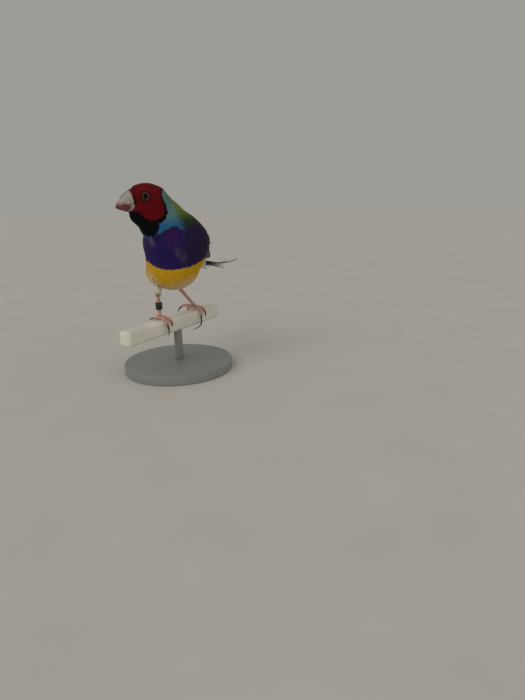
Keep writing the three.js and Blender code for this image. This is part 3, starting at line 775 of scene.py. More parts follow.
class Look:
    """A material and its node tree, with short ways to add and join nodes."""

    def __init__(self, name, **settings):
        self.material = bpy.data.materials.new(name)
        self.material.use_nodes = True
        self.tree = self.material.node_tree
        self.shader = self.tree.nodes["Principled BSDF"]
        for key, value in settings.items():
            self.shader.inputs[key.replace("_", " ")].default_value = value
        self.count = 0

    def add(self, kind, **settings):
        node = self.tree.nodes.new("ShaderNode" + kind)
        self.count += 1
        node.location = (-NODE_GAP * (1 + self.count % 6), NODE_GAP * (self.count // 6))
        for key, value in settings.items():
            if hasattr(node, key):
                setattr(node, key, value)
            else:
                self.set(node.inputs[key.replace("_", " ")], value)
        return node

    def set(self, socket, value):
        if isinstance(value, bpy.types.NodeSocket):
            self.tree.links.new(value, socket)
        elif np.size(value) == 3 and len(socket.default_value) == 4:
            socket.default_value = (*value, 1)
        else:
            socket.default_value = value

    def attribute(self, name, output="Color"):
        return self.add("Attribute", attribute_name=name).outputs[output]

    def math(self, operation, *values):
        node = self.add("Math", operation=operation)
        for socket, value in zip(node.inputs, values):
            self.set(socket, value)
        return node.outputs[0]

    def times(self, a, b):
        return self.math("MULTIPLY", a, b)

    def plus(self, a, b):
        return self.math("ADD", a, b)

    def place(self):
        return self.add("TexCoord").outputs["Object"]

    def noise(self, scale, detail=3.0, rough=0.5):
        return self.add("TexNoise", Scale=scale, Detail=detail, Roughness=rough, Vector=self.place()).outputs[0]

    def cells(self, scale):
        return self.add("TexVoronoi", Scale=scale, Vector=self.place()).outputs["Distance"]

    def ramp(self, value, *stops):
        node = self.add("ValToRGB")
        self.set(node.inputs[0], value)
        elements = node.color_ramp.elements
        while len(elements) < len(stops):
            elements.new(0.5)
        for element, (position, colour) in zip(elements, stops):
            element.position = position
            element.color = (*(rgb(colour) if isinstance(colour, str) else (colour,) * 3), 1)
        return node.outputs[0]

    def mix(self, share, a, b, kind="MIX"):
        node = self.add("Mix", data_type="RGBA", blend_type=kind)
        for socket, value in zip((node.inputs[0], node.inputs[6], node.inputs[7]), (share, a, b)):
            self.set(socket, value)
        return node.outputs[2]

    def span(self, value, low, high):
        node = self.add("MapRange")
        for k, each in ((0, value), (3, low), (4, high)):
            self.set(node.inputs[k], each)
        return node.outputs[0]

    def toned(self, tone):
        """The marks' colour, darker or lighter by a tone."""
        marks = self.attribute("marks")
        return self.mix(1.0, marks, self.add("CombineXYZ", X=tone, Y=tone, Z=tone).outputs[0], "MULTIPLY")

    def finish(self, colour, rough, bump=None):
        """Joins the colour, the roughness, a number or (grain, low, high), and (height, strength, mm) of relief."""
        self.set(self.shader.inputs["Base Color"], colour)
        self.set(self.shader.inputs["Roughness"], self.span(*rough) if isinstance(rough, tuple) else rough)
        if bump:
            height, strength, depth = bump
            node = self.add("Bump", Strength=strength, Distance=depth * MM, Height=height)
            self.set(self.shader.inputs["Normal"], node.outputs[0])
        return self.material


def plumage(name, roughness, barbs, relief, tint, root_shade):
    """Feather: the marks' colour, darker at the root as painted shade under the feathers that overlap it, with slanting
    barbs and a slight tint a feather.
    """
    look = Look(name, Sheen_Weight=0.02, Sheen_Roughness=0.4, Specular_IOR_Level=0.1)
    split = look.add("SeparateXYZ", Vector=look.add("UVMap", uv_map="Vane").outputs[0])
    slant = look.times(look.math("ABSOLUTE", split.outputs[0]), 1.1)
    stripe = look.math("SINE", look.times(look.math("SUBTRACT", split.outputs[1], slant), barbs * FULL_TURN))
    fine = look.plus(look.times(stripe, 0.5), look.noise(900.0, 2.0))
    reach, shade = look.attribute("reach", "Fac"), look.attribute("shade", "Fac")
    # Painted shade: the colour darkens toward each feather's root
    tone = look.plus(look.span(reach, root_shade, 1.06), look.times(shade, tint))
    tone = look.times(tone, look.span(fine, 0.86, 1.1))
    return look.finish(look.toned(tone), (fine, roughness - 0.08, roughness + 0.12), (fine, relief, 0.06))


def down_look():
    look = Look("shaded_under_down", Sheen_Weight=0.05, Specular_IOR_Level=0.1)
    down = look.noise(2400.0, 4.0)
    # Painted shade: the skin, pads and rims under the coat go mostly near black, with the marks' colour between
    colour = look.mix(look.span(down, 0.1, 0.4), look.attribute("marks"), GAP_SHADE)
    return look.finish(colour, (down, 0.7, 0.9), (down, 0.6, 0.2))


def horn_look():
    look = Look(
        "bill_horn", Subsurface_Weight=0.08, Subsurface_Radius=(0.8, 0.35, 0.25), Subsurface_Scale=0.0006,
        Specular_IOR_Level=0.45, Coat_Weight=0.1, Coat_Roughness=0.3,
    )
    cloud = look.noise(900.0, 4.0)
    growth = look.math("SINE", look.times(look.plus(look.attribute("along", "Fac"), cloud), 9.0))
    tone = look.span(look.plus(cloud, look.times(growth, 0.05)), 0.72, 1.2)
    height = look.plus(look.times(growth, 0.15), cloud)
    return look.finish(look.toned(tone), (cloud, 0.3, 0.45), (height, 0.22, 0.05))


def eye_look():
    look = Look("eye_glass", Specular_IOR_Level=0.12, Coat_Weight=0.04, Coat_Roughness=0.05)
    off = look.math("DIVIDE", look.attribute("off_axis", "Fac"), 90.0)
    ring = look.ramp(off, (0.0, "#030303"), (0.34, "#040303"), (0.38, "#150b08"), (0.62, "#0f0806"), (0.7, "#040303"))
    return look.finish(look.mix(look.span(look.noise(1800.0), 0.0, 0.3), ring, PUPIL), 0.14)


def lid_look():
    look = Look("eye_ring", Specular_IOR_Level=0.4)
    grain = look.cells(2600.0)
    return look.finish(look.ramp(grain, (0.0, "#867877"), (0.6, "#675a5a"), (1.0, "#463d3e")), 0.5, (grain, 0.6, 0.1))


def leg_look():
    look = Look(
        "leg_scales", Subsurface_Weight=0.15, Subsurface_Radius=(1.0, 0.4, 0.25), Subsurface_Scale=0.0008,
        Specular_IOR_Level=0.45,
    )
    wobble = look.times(look.noise(500.0, 2.0), 0.35)
    step = look.math("FRACT", look.math("DIVIDE", look.plus(look.attribute("along", "Fac"), wobble), 0.95))
    scale = look.ramp(step, (0.0, 0), (0.12, 1), (0.85, 0.85), (1.0, 0.1))
    blush = look.noise(260.0)
    blot = look.ramp(look.noise(600.0, 4.0, 0.65), (0.5, 0), (0.68, 1))
    colour = look.mix(look.span(blush, 0.1, 0.9), rgb("#c68a7d"), rgb("#e0b9aa"))
    colour = look.mix(look.times(blot, 0.45), colour, rgb("#a3675a"))
    colour = look.mix(look.times(look.math("SUBTRACT", 1.0, scale), 0.55), colour, rgb("#8d5748"))
    height = look.plus(scale, look.times(look.cells(2400.0), 0.25))
    return look.finish(colour, (blush, 0.42, 0.62), (height, 0.5, 0.12))


def claw_look():
    look = Look("claw_horn", Specular_IOR_Level=0.5, Coat_Weight=0.2, Coat_Roughness=0.25)
    streak = look.noise(1500.0)
    share = look.math("DIVIDE", look.plus(look.attribute("along", "Fac"), streak), 6.0)
    colour = look.ramp(share, (0.0, "#7d5a44"), (0.4, "#4a3426"), (1.0, "#2b1d16"))
    return look.finish(colour, (streak, 0.3, 0.5), (streak, 0.2, 0.04))


def ring_look():
    look = Look("leg_ring_plastic", Specular_IOR_Level=0.5)
    scuff = look.noise(900.0, 5.0, 0.7)
    colour = look.ramp(scuff, (0.3, "#101614"), (0.6, "#1f2a27"), (0.8, "#4a5552"))
    return look.finish(colour, (scuff, 0.3, 0.55), (scuff, 0.15, 0.05))


def perch_look():
    look = Look(
        "perch_plastic", Subsurface_Weight=0.08, Subsurface_Radius=(1.0, 0.9, 0.8), Subsurface_Scale=0.0015,
        Specular_IOR_Level=0.45,
    )
    grit = look.noise(900.0, 4.0, 0.7)
    clean = look.ramp(look.noise(60.0, 5.0, 0.65), (0.3, "#dedbcd"), (0.55, "#efede0"), (0.8, "#f6f4ec"))
    dirt = look.times(look.ramp(grit, (0.6, 0), (0.75, 1)), 0.2)
    return look.finish(look.mix(dirt, clean, rgb("#9f9682")), (grit, 0.35, 0.6), (grit, 0.12, 0.08))


def paint_look():
    look = Look("stand_paint", Specular_IOR_Level=0.5)
    grain = look.noise(1400.0, 2.0)
    colour = look.mix(look.span(look.noise(40.0), 0.0, 1.0), rgb("#8a8a87"), rgb("#979793"))
    return look.finish(colour, (grain, 0.4, 0.55), (grain, 0.12, 0.05))


def thread_look():
    look = Look("tail_thread", Sheen_Weight=0.2)
    fine = look.noise(1600.0)
    return look.finish(look.ramp(fine, (0.3, "#050506"), (0.8, "#0e0d10")), (fine, 0.45, 0.65), (fine, 0.3, 0.05))


def floor_look():
    look = Look("pale_floor")
    return look.finish(look.mix(look.span(look.noise(30.0), 0.0, 1.0), rgb("#d3cfc8"), rgb("#dcd9d3")), 0.9)


PLUSH = plumage("plush_feathers", roughness=0.66, barbs=7.0, relief=0.35, tint=0.12, root_shade=0.76)
SATIN = plumage("body_feathers", roughness=0.6, barbs=5.0, relief=0.35, tint=0.08, root_shade=0.84)
QUILL = plumage("quill_feathers", roughness=0.5, barbs=3.4, relief=0.25, tint=0.1, root_shade=0.85)
SHADED_DOWN, HORN, EYE, LID, LEG, CLAW = down_look(), horn_look(), eye_look(), lid_look(), leg_look(), claw_look()
RING, PERCH, PAINT, THREAD, FLOOR = ring_look(), perch_look(), paint_look(), thread_look(), floor_look()


# The coat, its lengths in millimetres like all others here

COVERS = [NODES["wing_left"], NODES["wing_right"], NODES["tail"]]
COVER_REACH = 7.0
COAT_TRIES = 150000
COAT_SPACING = 0.215
COAT_CAMBER = 0.12
COAT_FRAY = 0.09
EYE_BARE = 1.75
HEAD_REACH = 12.5
# A feather rises over a wing's edge when the wing stands this high over its tip at most
EDGE_SEARCH = 5.0
EDGE_MOST = 3.4
THIGH_SPOT = on_body(-11.5, -11.5, -15.5)
RIM_TRIES, RIM_SPACE = 6000, 0.22
BASE_TRIES, BASE_SPACE = 30000, 0.23
# How far forward the feathers on the bill's base go, by height
BASE_EDGE = [(-6.5, 7.2), (-5.2, 7.4), (-1.1, 8.9), (2.0, 9.3), (5.0, 9.9), (6.2, 10.3)]
MOUTH_WIDTH = [(5.0, 4.8), (6.4, 4.9), (10, 4.1)]


def meet(trees, places, ways, reach):
    """How far from each place its ray meets one of the pieces, or infinity."""
    found = np.full(len(places), np.inf)
    for k, (place, way) in enumerate(zip(places, ways)):
        for tree in trees:
            at = tree.ray_cast(Vector(place), Vector(way), reach)[3]
            if at is not None:
                found[k] = min(found[k], at)
    return found


def covered(trees, places, facing):
    """True where a wing or the tail lies over a place."""
    return np.isfinite(meet(trees, places + 0.1 * facing, facing, COVER_REACH))


def beside_eye(places, ways, facing):
    """Turns feathers near an eye so that they run past it."""
    for side in (-1, 1):
        _, out, off = round_eye(places, side)
        near = ease(4.0, 2.9, np.linalg.norm(off, axis=1)) * (out > 0)
        inward = -np.minimum((ways * unit(off)).sum(1), 0) * near
        ways = unit(ways + unit(off) * inward[:, None])
    return level_with(ways, facing)


def short_paths(places, ways, facing, length, fall, turn):
    """Short paths that fall away from the surface, and the way out along them."""
    along = np.linspace(0, 1, 5)[None, :, None] * length[:, None, None]
    path = places[:, None] + ways[:, None] * along - facing[:, None] * along**2 / fall
    return path, unit(facing[:, None] + ways[:, None] * along / turn)


def rim_feathers(rim, side):
    """Tiny feathers on the bare rim round an eye."""
    places, facing = places_on(rim, RIM_TRIES)
    axis, _, off = round_eye(places, side)
    good = (np.linalg.norm(off, axis=1) > 2.2) & (facing @ axis > -0.2)
    places, facing = thinned(places[good], facing[good], RIM_SPACE)
    ways = beside_eye(places, level_with(lie_at(places), facing), facing)
    return short_paths(places, ways, facing, RANDOM.uniform(0.7, 1.0, len(places)), 5, 2.5)


def base_feathers(horn):
    """Small face feathers rooted on the bill's base, lying back over the face."""
    places, facing = places_on(horn, BASE_TRIES)
    forward, left, up = in_head(places)
    edge = line_at(BASE_EDGE, up)
    chin = 11.4 - 0.24 * left**2 - 3.0 * ease(-0.75, -0.2, facing[:, 2])
    edge = np.where((up < -2.5) & (facing[:, 2] < -0.1), np.maximum(edge, chin), edge)
    good = (forward < edge + RANDOM.uniform(-0.14, 0.12, len(edge))) & (facing @ FORWARD > -0.9)
    places, facing = places[good], facing[good]
    facing = unit(facing - np.minimum(facing @ FORWARD, 0)[:, None] * FORWARD)
    places, facing = thinned(places, facing, BASE_SPACE)
    ways = level_with(lie_at(places) + 0.12 * RANDOM.normal(size=places.shape), facing)
    longer = 1 + 0.9 * ease(8.0, 6.6, (places - HEAD) @ FORWARD)
    return short_paths(places, ways, facing, RANDOM.uniform(0.8, 1.1, len(places)) * longer, 30, 9.5)


def on_bill(places, facing):
    """True where the skin lies inside the bill's base or faces it."""
    forward, left, up = in_head(places)
    wide = line_at(MOUTH_WIDTH, forward)
    beside = (np.abs(left) < wide - 0.25) & (up < 6.6) & (up > -5.0) & ((facing * FORWARD).sum(1) < 0.2)
    inside = (left / wide) ** 2 + ((up - 0.9) / 6.0) ** 2 < 0.86
    return (forward > 5.9) & beside | (forward > 6.0) & inside


def make_feathers(skin, horns, rims):
    """The body's coat, but none where the bill, the eyes, the wings or the tail hide it."""
    places, facing = places_on(skin, COAT_TRIES)
    length = feather_length(places)
    kept = scatter(places, COAT_SPACING * length)
    places, facing, length = places[kept], facing[kept], length[kept]
    bare = (from_eyes(places, 1.2) < EYE_BARE) | on_bill(places, facing)
    trees = [tree_of(cover) for cover in COVERS]
    hidden = covered(trees, places, facing)
    ways = level_with(lie_at(places) + 0.13 * RANDOM.normal(size=places.shape), facing)
    ways = beside_eye(places, ways, facing)
    tips = places + ways * length[:, None]
    keep = ~(bare | hidden & covered(trees, tips, facing))
    places, facing, length, ways, tips = (each[keep] for each in (places, facing, length, ways, tips))
    # Feathers in front of a wing rise over its edge
    above = np.maximum(EDGE_SEARCH - meet(trees, tips + EDGE_SEARCH * facing, -facing, EDGE_SEARCH), 0)
    step = np.where((above < EDGE_MOST) & ~covered(trees, places, facing), above, 0.0)
    path, normals = walk(tree_of(skin), places, ways, length * RANDOM.uniform(0.85, 1.15, len(length)), 4)
    depth = coat_depth(places) + 1.2 * ease(7.5, 2.5, distance(places, THIGH_SPOT))
    depth = np.maximum(depth, np.where(step > 0, (step + 0.3) / CONTOUR_RISE[-1][1], 0.0))
    _, y, z = (path[:, 2] - BODY).T
    head = distance(path[:, 2], HEAD) < HEAD_REACH
    rump = ~head & (y > 20)
    neck = ~head & ~rump & (z > 9) & (y < 0)
    chest = ~head & ~rump & ~neck & (z > -9) & (y < 2)
    belly = ~head & ~rump & ~neck & ~chest & (z <= -3)
    back = ~(head | rump | neck | chest | belly)
    face = head & (((path[:, 2] - HEAD) @ LEFT) > 0)
    for name, part, columns, material in (
        ("head_coat_left", face, 5, PLUSH),
        ("head_coat_right", head & ~face, 5, PLUSH),
        ("neck_coat", neck, 5, PLUSH),
        ("breast_coat", chest, 7, SATIN),
        ("belly_coat", belly, 7, SATIN),
        ("back_coat", back, 7, SATIN),
        ("rump_coat", rump, 7, SATIN),
    ):
        wide = length[part] * np.where(head[part], 0.5, 0.56)
        vanes = lay_vanes(
            path[part], normals[part], wide, CONTOUR_OUTLINE, COAT_CAMBER, COAT_FRAY, depth[part], CONTOUR_RISE,
            columns=columns,
        )
        make_coat(name, name.split("_")[0] + "_feathers", vanes, material)
    groups = [base_feathers(horn) for horn in horns] + [rim_feathers(rim, side) for rim, side in rims]
    path, normals = (np.concatenate(each) for each in zip(*groups))
    low = 0.2 + 0.3 * ease(8.0, 6.6, (path[:, 0] - HEAD) @ FORWARD)
    wide = 0.5 * distance(path[:, -1], path[:, 0])
    vanes = lay_vanes(path, normals, wide, CONTOUR_OUTLINE, COAT_CAMBER, COAT_FRAY, low, CONTOUR_RISE)
    make_coat("face_fringe", "head_feathers", vanes, PLUSH)


# Wings and tail

# Each tier's number of feathers, then from its first feather to its last: root and tip along the
# sleeve, place across it at the root and at the tip, and last the width and the first and last lift
TIERS = {
    "primaries": (8, (12, 16), (51, 41), (-5.8, -3.0), (-2.4, 0.4), 4.0, (0.0, 0.7)),
    "secondaries": (7, (12, 12), (39, 34), (-4.2, 3.4), (-2.2, 3.8), 4.6, (0.55, 1.0)),
    "tertials": (3, (13, 13), (35, 28.5), (4.2, 8.2), (4.8, 7.4), 5.2, (0.95, 1.3)),
    "greater_coverts": (10, (7, 8), (21.4, 19.5), (-7, 8.4), (-6.0, 8.2), 3.5, (1.1, 1.5)),
    "median_coverts": (10, (3, 4), (13.5, 13.5), (-7, 8.6), (-6.6, 8.6), 3.2, (1.5, 1.85)),
}
# Where across a quill, from -1 to 1, its green edge starts and is full
GREEN_EDGE = {"primaries": (0.15, 0.85), "secondaries": (-0.55, 0.1), "tertials": (-0.9, -0.4)}
LESSER_ROWS = 6
TAIL_WIDTH = 3.9
TAIL_ROOT_END = 9.5
TAIL_LENGTHS = [38, 37.5, 36, 34, 31.5, 28.5]
# Name, side, feathers in the first row, furthest reach, lift and colour
TAIL_COVERTS = (
    ("tail_coverts_above", 1, 13, 14, 1.7, RUMP_BLUE),
    ("tail_coverts_below", -1, 11, 12, -2.9, WHITE),
)


def paths_on(lay, rows, *spans):
    """Paths on a wing or the tail, each from a root to a tip: along, across and lift; and the way out."""
    share = np.linspace(0, 1, rows)[None]
    along, across, lift = (blend(root[:, None], tip[:, None], share) for root, tip in spans)
    path = lay(along, across, lift)
    return path, unit(lay(along, across, lift + 1.0) - path)


def tier_colours(tier, vanes, side, width):
    """Dark quills with green edges, and green coverts with painted shade: darker toward their roots and where the flank
    shades them.
    """
    outer = vanes.vane[..., 0] * -side / (width / 2)
    if tier not in GREEN_EDGE:
        from_body = vanes.points - BODY
        # Painted shade at the coverts' roots, and low at the front where the flank shades the wing
        colour = blend(OLIVE, GREEN, 0.45) * (1 - 0.25 * ease(0.5, 0.0, vanes.share)[:, None])
        return over(PAINTED_SHADE, colour, 0.9 * ease(5, 0, from_body[..., 2]) * ease(14, 7, from_body[..., 1]))
    edge = ease(*GREEN_EDGE[tier], outer) * blend(1.0, 0.55, vanes.share)
    colour = over(blend(OLIVE, GREEN, 0.5), DARK, edge)
    if tier == "primaries":
        colour = over(QUILL_EDGE, colour, 0.55 * ease(0.72, 0.95, outer) * ease(0.25, 0.5, vanes.share))
    return colour


def lesser_coverts(lay):
    """Rows of small scale-like feathers over the shoulder, and their colours, with painted shade on the rows nearest
    the shoulder.
    """
    roots, across = [], []
    for row in range(LESSER_ROWS):
        number, half = 11 + row % 2, 7.6 + 0.2 * row
        level = np.linspace(-half, half, number) + (0.35 if row % 2 else 0)
        roots.append(np.full(number, -2.6 + 1.9 * row) + RANDOM.uniform(-0.3, 0.3, number))
        across.append(level + RANDOM.uniform(-0.15, 0.15, number))
    roots, across = np.concatenate(roots), np.concatenate(across)
    lift = np.interp(roots, [-3, 8], [1.2, 1.9])
    path, facing = paths_on(lay, 6, (roots, roots + 4.4), (across, across * 0.99), (lift - 0.5, lift + 0.25))
    vanes = lay_vanes(path, facing, 2.6, COVERT_OUTLINE, 0.14, 0.03)
    # Painted shade: the rows nearest the shoulder go dark
    tone = np.repeat(ease(7.5, 1.0, roots), vanes.points.shape[1])
    return vanes, over(PAINTED_SHADE, blend(OLIVE, GREEN, 0.3), 0.85 * tone)


def make_wing(side):
    node = "wing_left" if side > 0 else "wing_right"
    lay = partial(lay_on_sleeve, side)
    groups = []
    for tier, (count, root, tip, start, end, width, lift) in TIERS.items():
        quill = tier in GREEN_EDGE
        root, tip, start, end, lift = (blend(*pair, np.linspace(0, 1, count)) for pair in (root, tip, start, end, lift))
        path, facing = paths_on(
            lay, 15 if quill else 9,
            (root, tip + RANDOM.uniform(-0.5, 0.5, count)),
            (start, end + RANDOM.uniform(-0.2, 0.2, count)),
            (np.minimum(lift, 0.7), lift + 0.25),
        )
        outline, frayed, shaft = (QUILL_OUTLINE, 0.012, 0.12) if quill else (COVERT_OUTLINE, 0.03, 0.05)
        vanes = lay_vanes(path, facing, width, outline, 0.12, frayed, 1.0, [(0, 0), (1, 0.05)], shaft, 9)
        groups.append((tier, vanes, tier_colours(tier, vanes, side, width).reshape(-1, 3)))
    groups.append(("lesser_coverts", *lesser_coverts(lay)))
    for tier, vanes, colours in groups:
        make_coat(f"{node}_{tier}", "wing_feathers", vanes, QUILL if tier in GREEN_EDGE else SATIN, colours, [node])
    make_arm(node, lay)


def make_arm(node, lay):
    """The folded arm under the coverts, a closed pad."""
    rows, columns = 22, 13
    u, v = np.meshgrid(np.linspace(0, 1, rows), np.linspace(-1, 1, columns), indexing="ij")
    across = curve([(0, 5.2), (0.3, 9), (1, 6)], u) * v - 0.5 * u
    lifts = (1.0 - 1.6 * v**4, -3.5 + 2.0 * v**4)
    points = [lay(blend(-1.5, 30, u), across, lift - 0.9 * u).reshape(-1, 3) for lift in lifts]
    index = np.arange(rows * columns).reshape(rows, columns)
    rim = np.concatenate([index[0], index[1:, -1], index[-1, -2::-1], index[-2:0:-1, 0]])
    after, below = np.roll(rim, -1), index.size
    faces = np.concatenate([
        grid_faces(index), grid_faces(index)[:, ::-1] + below,
        np.stack([after, rim, rim + below], 1), np.stack([after, rim + below, after + below], 1),
    ])
    piece = new_piece(f"{node}_arm", np.concatenate(points), faces)
    with edit_mode(piece):
        bpy.ops.mesh.normals_make_consistent(inside=False)
    bpy.ops.object.shade_smooth()
    set_marks(piece, blend(OLIVE, DARK, 0.5))
    finish_piece(piece, "wing_feathers", SHADED_DOWN, node)


def make_tail():
    count = 2 * len(TAIL_LENGTHS)
    pair = np.repeat(np.arange(len(TAIL_LENGTHS)), 2)
    side = np.tile([-1, 1], len(TAIL_LENGTHS))
    path, facing = paths_on(
        lay_on_tail, 17,
        (np.full(count, 1.0), np.repeat(TAIL_LENGTHS, 2) + RANDOM.uniform(-0.4, 0.4, count)),
        (side * (0.9 + 0.45 * pair), side * (1.2 + 1.15 * pair) + RANDOM.uniform(-0.25, 0.25, count)),
        (0.5 - 0.35 * pair + 0.12 * side, 0.7 - 0.5 * pair + RANDOM.uniform(-0.3, 0.3, count)),
    )
    vanes = lay_vanes(path, facing, TAIL_WIDTH, STREAMER_OUTLINE, 0.1, 0.01, shaft=0.14, columns=9)
    make_coat("tail_feathers", "tail_feathers", vanes, QUILL, BLACK, ["tail"])
    for name, above, number, reach, lift, colour in TAIL_COVERTS:
        paths, outs = [], []
        for row in range(4):
            across = np.linspace(-3.4, 3.4, number - row) * (1 - 0.1 * row)
            start = np.full(len(across), -3.0 + 2.4 * row)
            tip = np.minimum(start + 6.4 - 0.25 * np.abs(across), reach)
            low = np.full(len(across), lift - (0.55 - 0.1 * row) * above)
            high = low + 0.9 * above * (0.75 - 0.1 * row)
            path, facing = paths_on(lay_on_tail, 6, (start, tip), (across, across * 0.85), (low, high))
            paths.append(path)
            outs.append(facing * above)
        vanes = lay_vanes(np.concatenate(paths), np.concatenate(outs), 2.3, COVERT_OUTLINE, 0.14, 0.05)
        make_coat(name, "tail_feathers", vanes, SATIN, colour, ["tail"])
    make_tail_root()
    make_tail_threads()


def make_tail_root():
    """The tail's fleshy root, cut off under the coverts."""
    root = copy_of(["tail"], "tail_root")
    with edit_mode(root):
        cut = bend_tail(lay_on_tail(*np.array([[TAIL_ROOT_END], [0.0], [0.0]])))[0] * MM
        bpy.ops.mesh.bisect(plane_co=cut, plane_no=(0, 1, 0), clear_outer=True, use_fill=True)
    remesh(root, 0.4, 6)
    set_points(root, points_of(root) - normals_of(root) * 0.45)
    set_marks(root, blend(RUMP_BLUE, DARK, 0.6))
    finish_piece(root, "tail_feathers", SHADED_DOWN, "tail")


def make_tail_threads():
    """The two drawn-out tips of the middle tail feathers."""
    for name, side, reach, rise in (("left", 1, 55, 5.5), ("right", -1, 47, 2.5)):
        places = [
            (30, side * 1.2, 0.7), (40, side * 1.6, 1.1),
            (blend(40, reach, 0.6), side * 2.4, 1 + rise * 0.4), (reach, side * 3 + 2, 1 + rise),
        ]
        line = [lay_on_tail(*(np.array(each) for each in place)) for place in places]
        thread = make_tube(f"tail_thread_{name}", line, (0.5, 0.36, 0.3, 0.22))
        set_marks(thread, BLACK)
        finish_piece(thread, "tail_feathers", THREAD, "tail")


def make_tube(name, places, radii):
    """A round tapering piece along a few places, made from a bevelled curve."""
    line = bpy.data.curves.new(name, "CURVE")
    line.dimensions = "3D"
    line.bevel_depth = MM
    line.bevel_resolution = 2
    line.use_fill_caps = True
    line.resolution_u = 14
    spline = line.splines.new("NURBS")
    spline.points.add(len(places) - 1)
    for point, place, radius in zip(spline.points, places, radii):
        point.co = (*(place * MM), 1)
        point.radius = radius
    spline.use_endpoint_u = True
    spline.order_u = 4
    made = bpy.data.objects.new(name, line)
    bpy.context.collection.objects.link(made)
    only(made)
    bpy.ops.object.convert(target="MESH")
    bpy.ops.object.shade_smooth_by_angle(angle=math.radians(50))
    return bpy.context.object


# Bill, eyes and legs

MOUTH_LINE = [(6.4, -0.5), (10, -1.25), (18, -3.4)]
# Name, how far out along the eye's axis, sides of the section, and both radii
EYE_RINGS = (("eye_ring", 1.5, 14, 1.86, 0.27), ("eye_rim", 1.05, 12, 2.3, 0.45))
LEG_VOXEL, CLAW_VOXEL, THIGH_VOXEL, HORN_VOXEL = 0.16, 0.07, 0.35, 0.14
HORN_TUCK = 0.45
THIGH_INSET = 0.55
THIGH_TRIES, BELLY_TRIES, THIGH_SPACE = 9000, 60000, 0.5
TUFT_REACH = 4.4
# Each foot's middle, and the joints of its toes: along the perch, beside it and up
TOES = {
    "right": ((-13, -0.8, 6.4), {
        "inner": [(-11.2, 2.6, 5.9), (-10.6, 5.3, 4.6), (-10.3, 5.9, 3.2)],
        "middle": [(-14, 2.4, 6.1), (-14.8, 5, 5.2), (-14.4, 6.2, 2.7)],
        "outer": [(-14.5, -2, 5.9), (-15.2, -2.6, 5.8), (-15.9, -3.4, 5.7)],
        "hind": [(-12.6, -3.4, 5.9), (-12.2, -5.2, 5.0), (-12.1, -6.1, 3.2)],
    }),
    "left": ((20, -0.2, 6.4), {
        "inner": [(15.6, -1.2, 7.6), (11.6, -2.2, 8.6), (8.6, -2.6, 8)],
        "middle": [(19.4, 3, 6.1), (18.4, 5.6, 4.8), (17.4, 6.4, 1.6)],
        "outer": [(21.2, 2.6, 6), (21.8, 4.6, 5.2), (22, 5.7, 4.1)],
        "hind": [(19.6, -3.2, 5.9), (19.2, -5.4, 4.9), (19, -6.2, 3)],
    }),
}


def bill_marks(points, lower):
    """Pearly horn at the base, pink and dark red toward the edges and the tip."""
    forward, left, up = in_head(points)
    cloud = waver(points, 1.3, 5.0)
    colour = over(PEARL_SHADE, PEARL, 0.6 * ease(-0.3, 0.9, cloud))
    if lower:
        tone = over(PINK, MAROON, 0.5 * ease(-0.2, 0.8, waver(points, 0.9, 1.0)))
        return over(tone, colour, 0.97 * ease(9.6, 11.6, forward + 0.9 * cloud))
    above = up - line_at(MOUTH_LINE, forward)
    flush = ease(11.0, 13.6, forward + 0.8 * cloud) * ease(2.4, 0.8, above + 0.4 * cloud)
    colour = over(PINK, colour, 0.9 * flush)
    colour = over(MAROON, colour, 0.7 * flush * ease(1.1, 0.3, above))
    colour = over(MAROON, colour, 0.92 * ease(15.2, 17.2, forward + 0.4 * cloud))
    return over(RIDGE, colour, 0.85 * ease(1.35, 0.5, np.abs(left)) * ease(2.0, 3.0, above) * ease(16.0, 12.5, forward))


def make_bill():
    """Both halves of the bill, closer at the mouth and tucked in under the face feathers."""
    horns = []
    for node, inward, close in (("bill_upper", -1, 0.06), ("bill_lower", 1, 0.13)):
        piece = smoothed(node, node + "_horn", HORN_VOXEL, 5)
        points, normals = points_of(piece), normals_of(piece)
        forward = (points - HEAD) @ FORWARD
        inner = ease(0.4, 0.8, normals[:, 2] * inward) * (forward > 7.4)
        tuck = HORN_TUCK * ease(7.3, 6.5, forward)
        set_points(piece, points + normals * (close * inner - tuck)[:, None])
        set_numbers(piece, "along", forward)
        set_marks(piece, bill_marks(points, inward > 0))
        horns.append(finish_piece(piece, "bill", HORN, node))
    return horns


def make_eyes():
    """Each eye's ball and lid, and the bare rim that carries the feathers round it."""
    rims = []
    for side, name in ((1, "left"), (-1, "right")):
        centre, way = eye_middle(side), unit(side * LEFT + EYE_TILT)
        turn = Vector(way).to_track_quat("Z", "Y").to_euler()
        ball = primitive(
            bpy.ops.mesh.primitive_uv_sphere_add, f"eyeball_{name}", segments=48, ring_count=32,
            radius=(EYE_RADIUS - 0.05) * MM, location=centre * MM, rotation=turn,
        )
        bpy.ops.object.shade_smooth()
        away = unit(points_of(ball) - centre)
        set_numbers(ball, "off_axis", np.degrees(np.arccos(np.clip(away @ way, -1, 1))))
        finish_piece(ball, "eye", EYE, f"eye_{name}")
        for kind, out, sides, radius, thick in EYE_RINGS:
            middle = centre + way * out
            ring = primitive(
                bpy.ops.mesh.primitive_torus_add, f"{kind}_{name}", major_segments=64, minor_segments=sides,
                major_radius=radius * MM, minor_radius=thick * MM, location=middle * MM, rotation=turn,
            )
            bpy.ops.object.shade_smooth()
            if kind == "eye_ring":
                points = points_of(ring)
                set_points(ring, points - ((points - middle) @ FORWARD)[:, None] * FORWARD * 0.1)
                finish_piece(ring, "leg_skin", LID)
            else:
                set_marks(ring, LORES)
                rims.append((finish_piece(ring, "leg_skin", SHADED_DOWN), side))
    return rims


def along_toes(points, foot, toes):
    """How far along its toe each point of a foot is."""
    best = np.full(len(points), 1e9)
    along = np.zeros(len(points))
    for line in toes.values():
        for _, _, away, travelled in stretches(points, [on_perch(*stop) for stop in (foot, *line)], 1.5):
            reach = np.linalg.norm(away, axis=1)
            along = np.where(reach < best, travelled, along)
            best = np.minimum(best, reach)
    return along


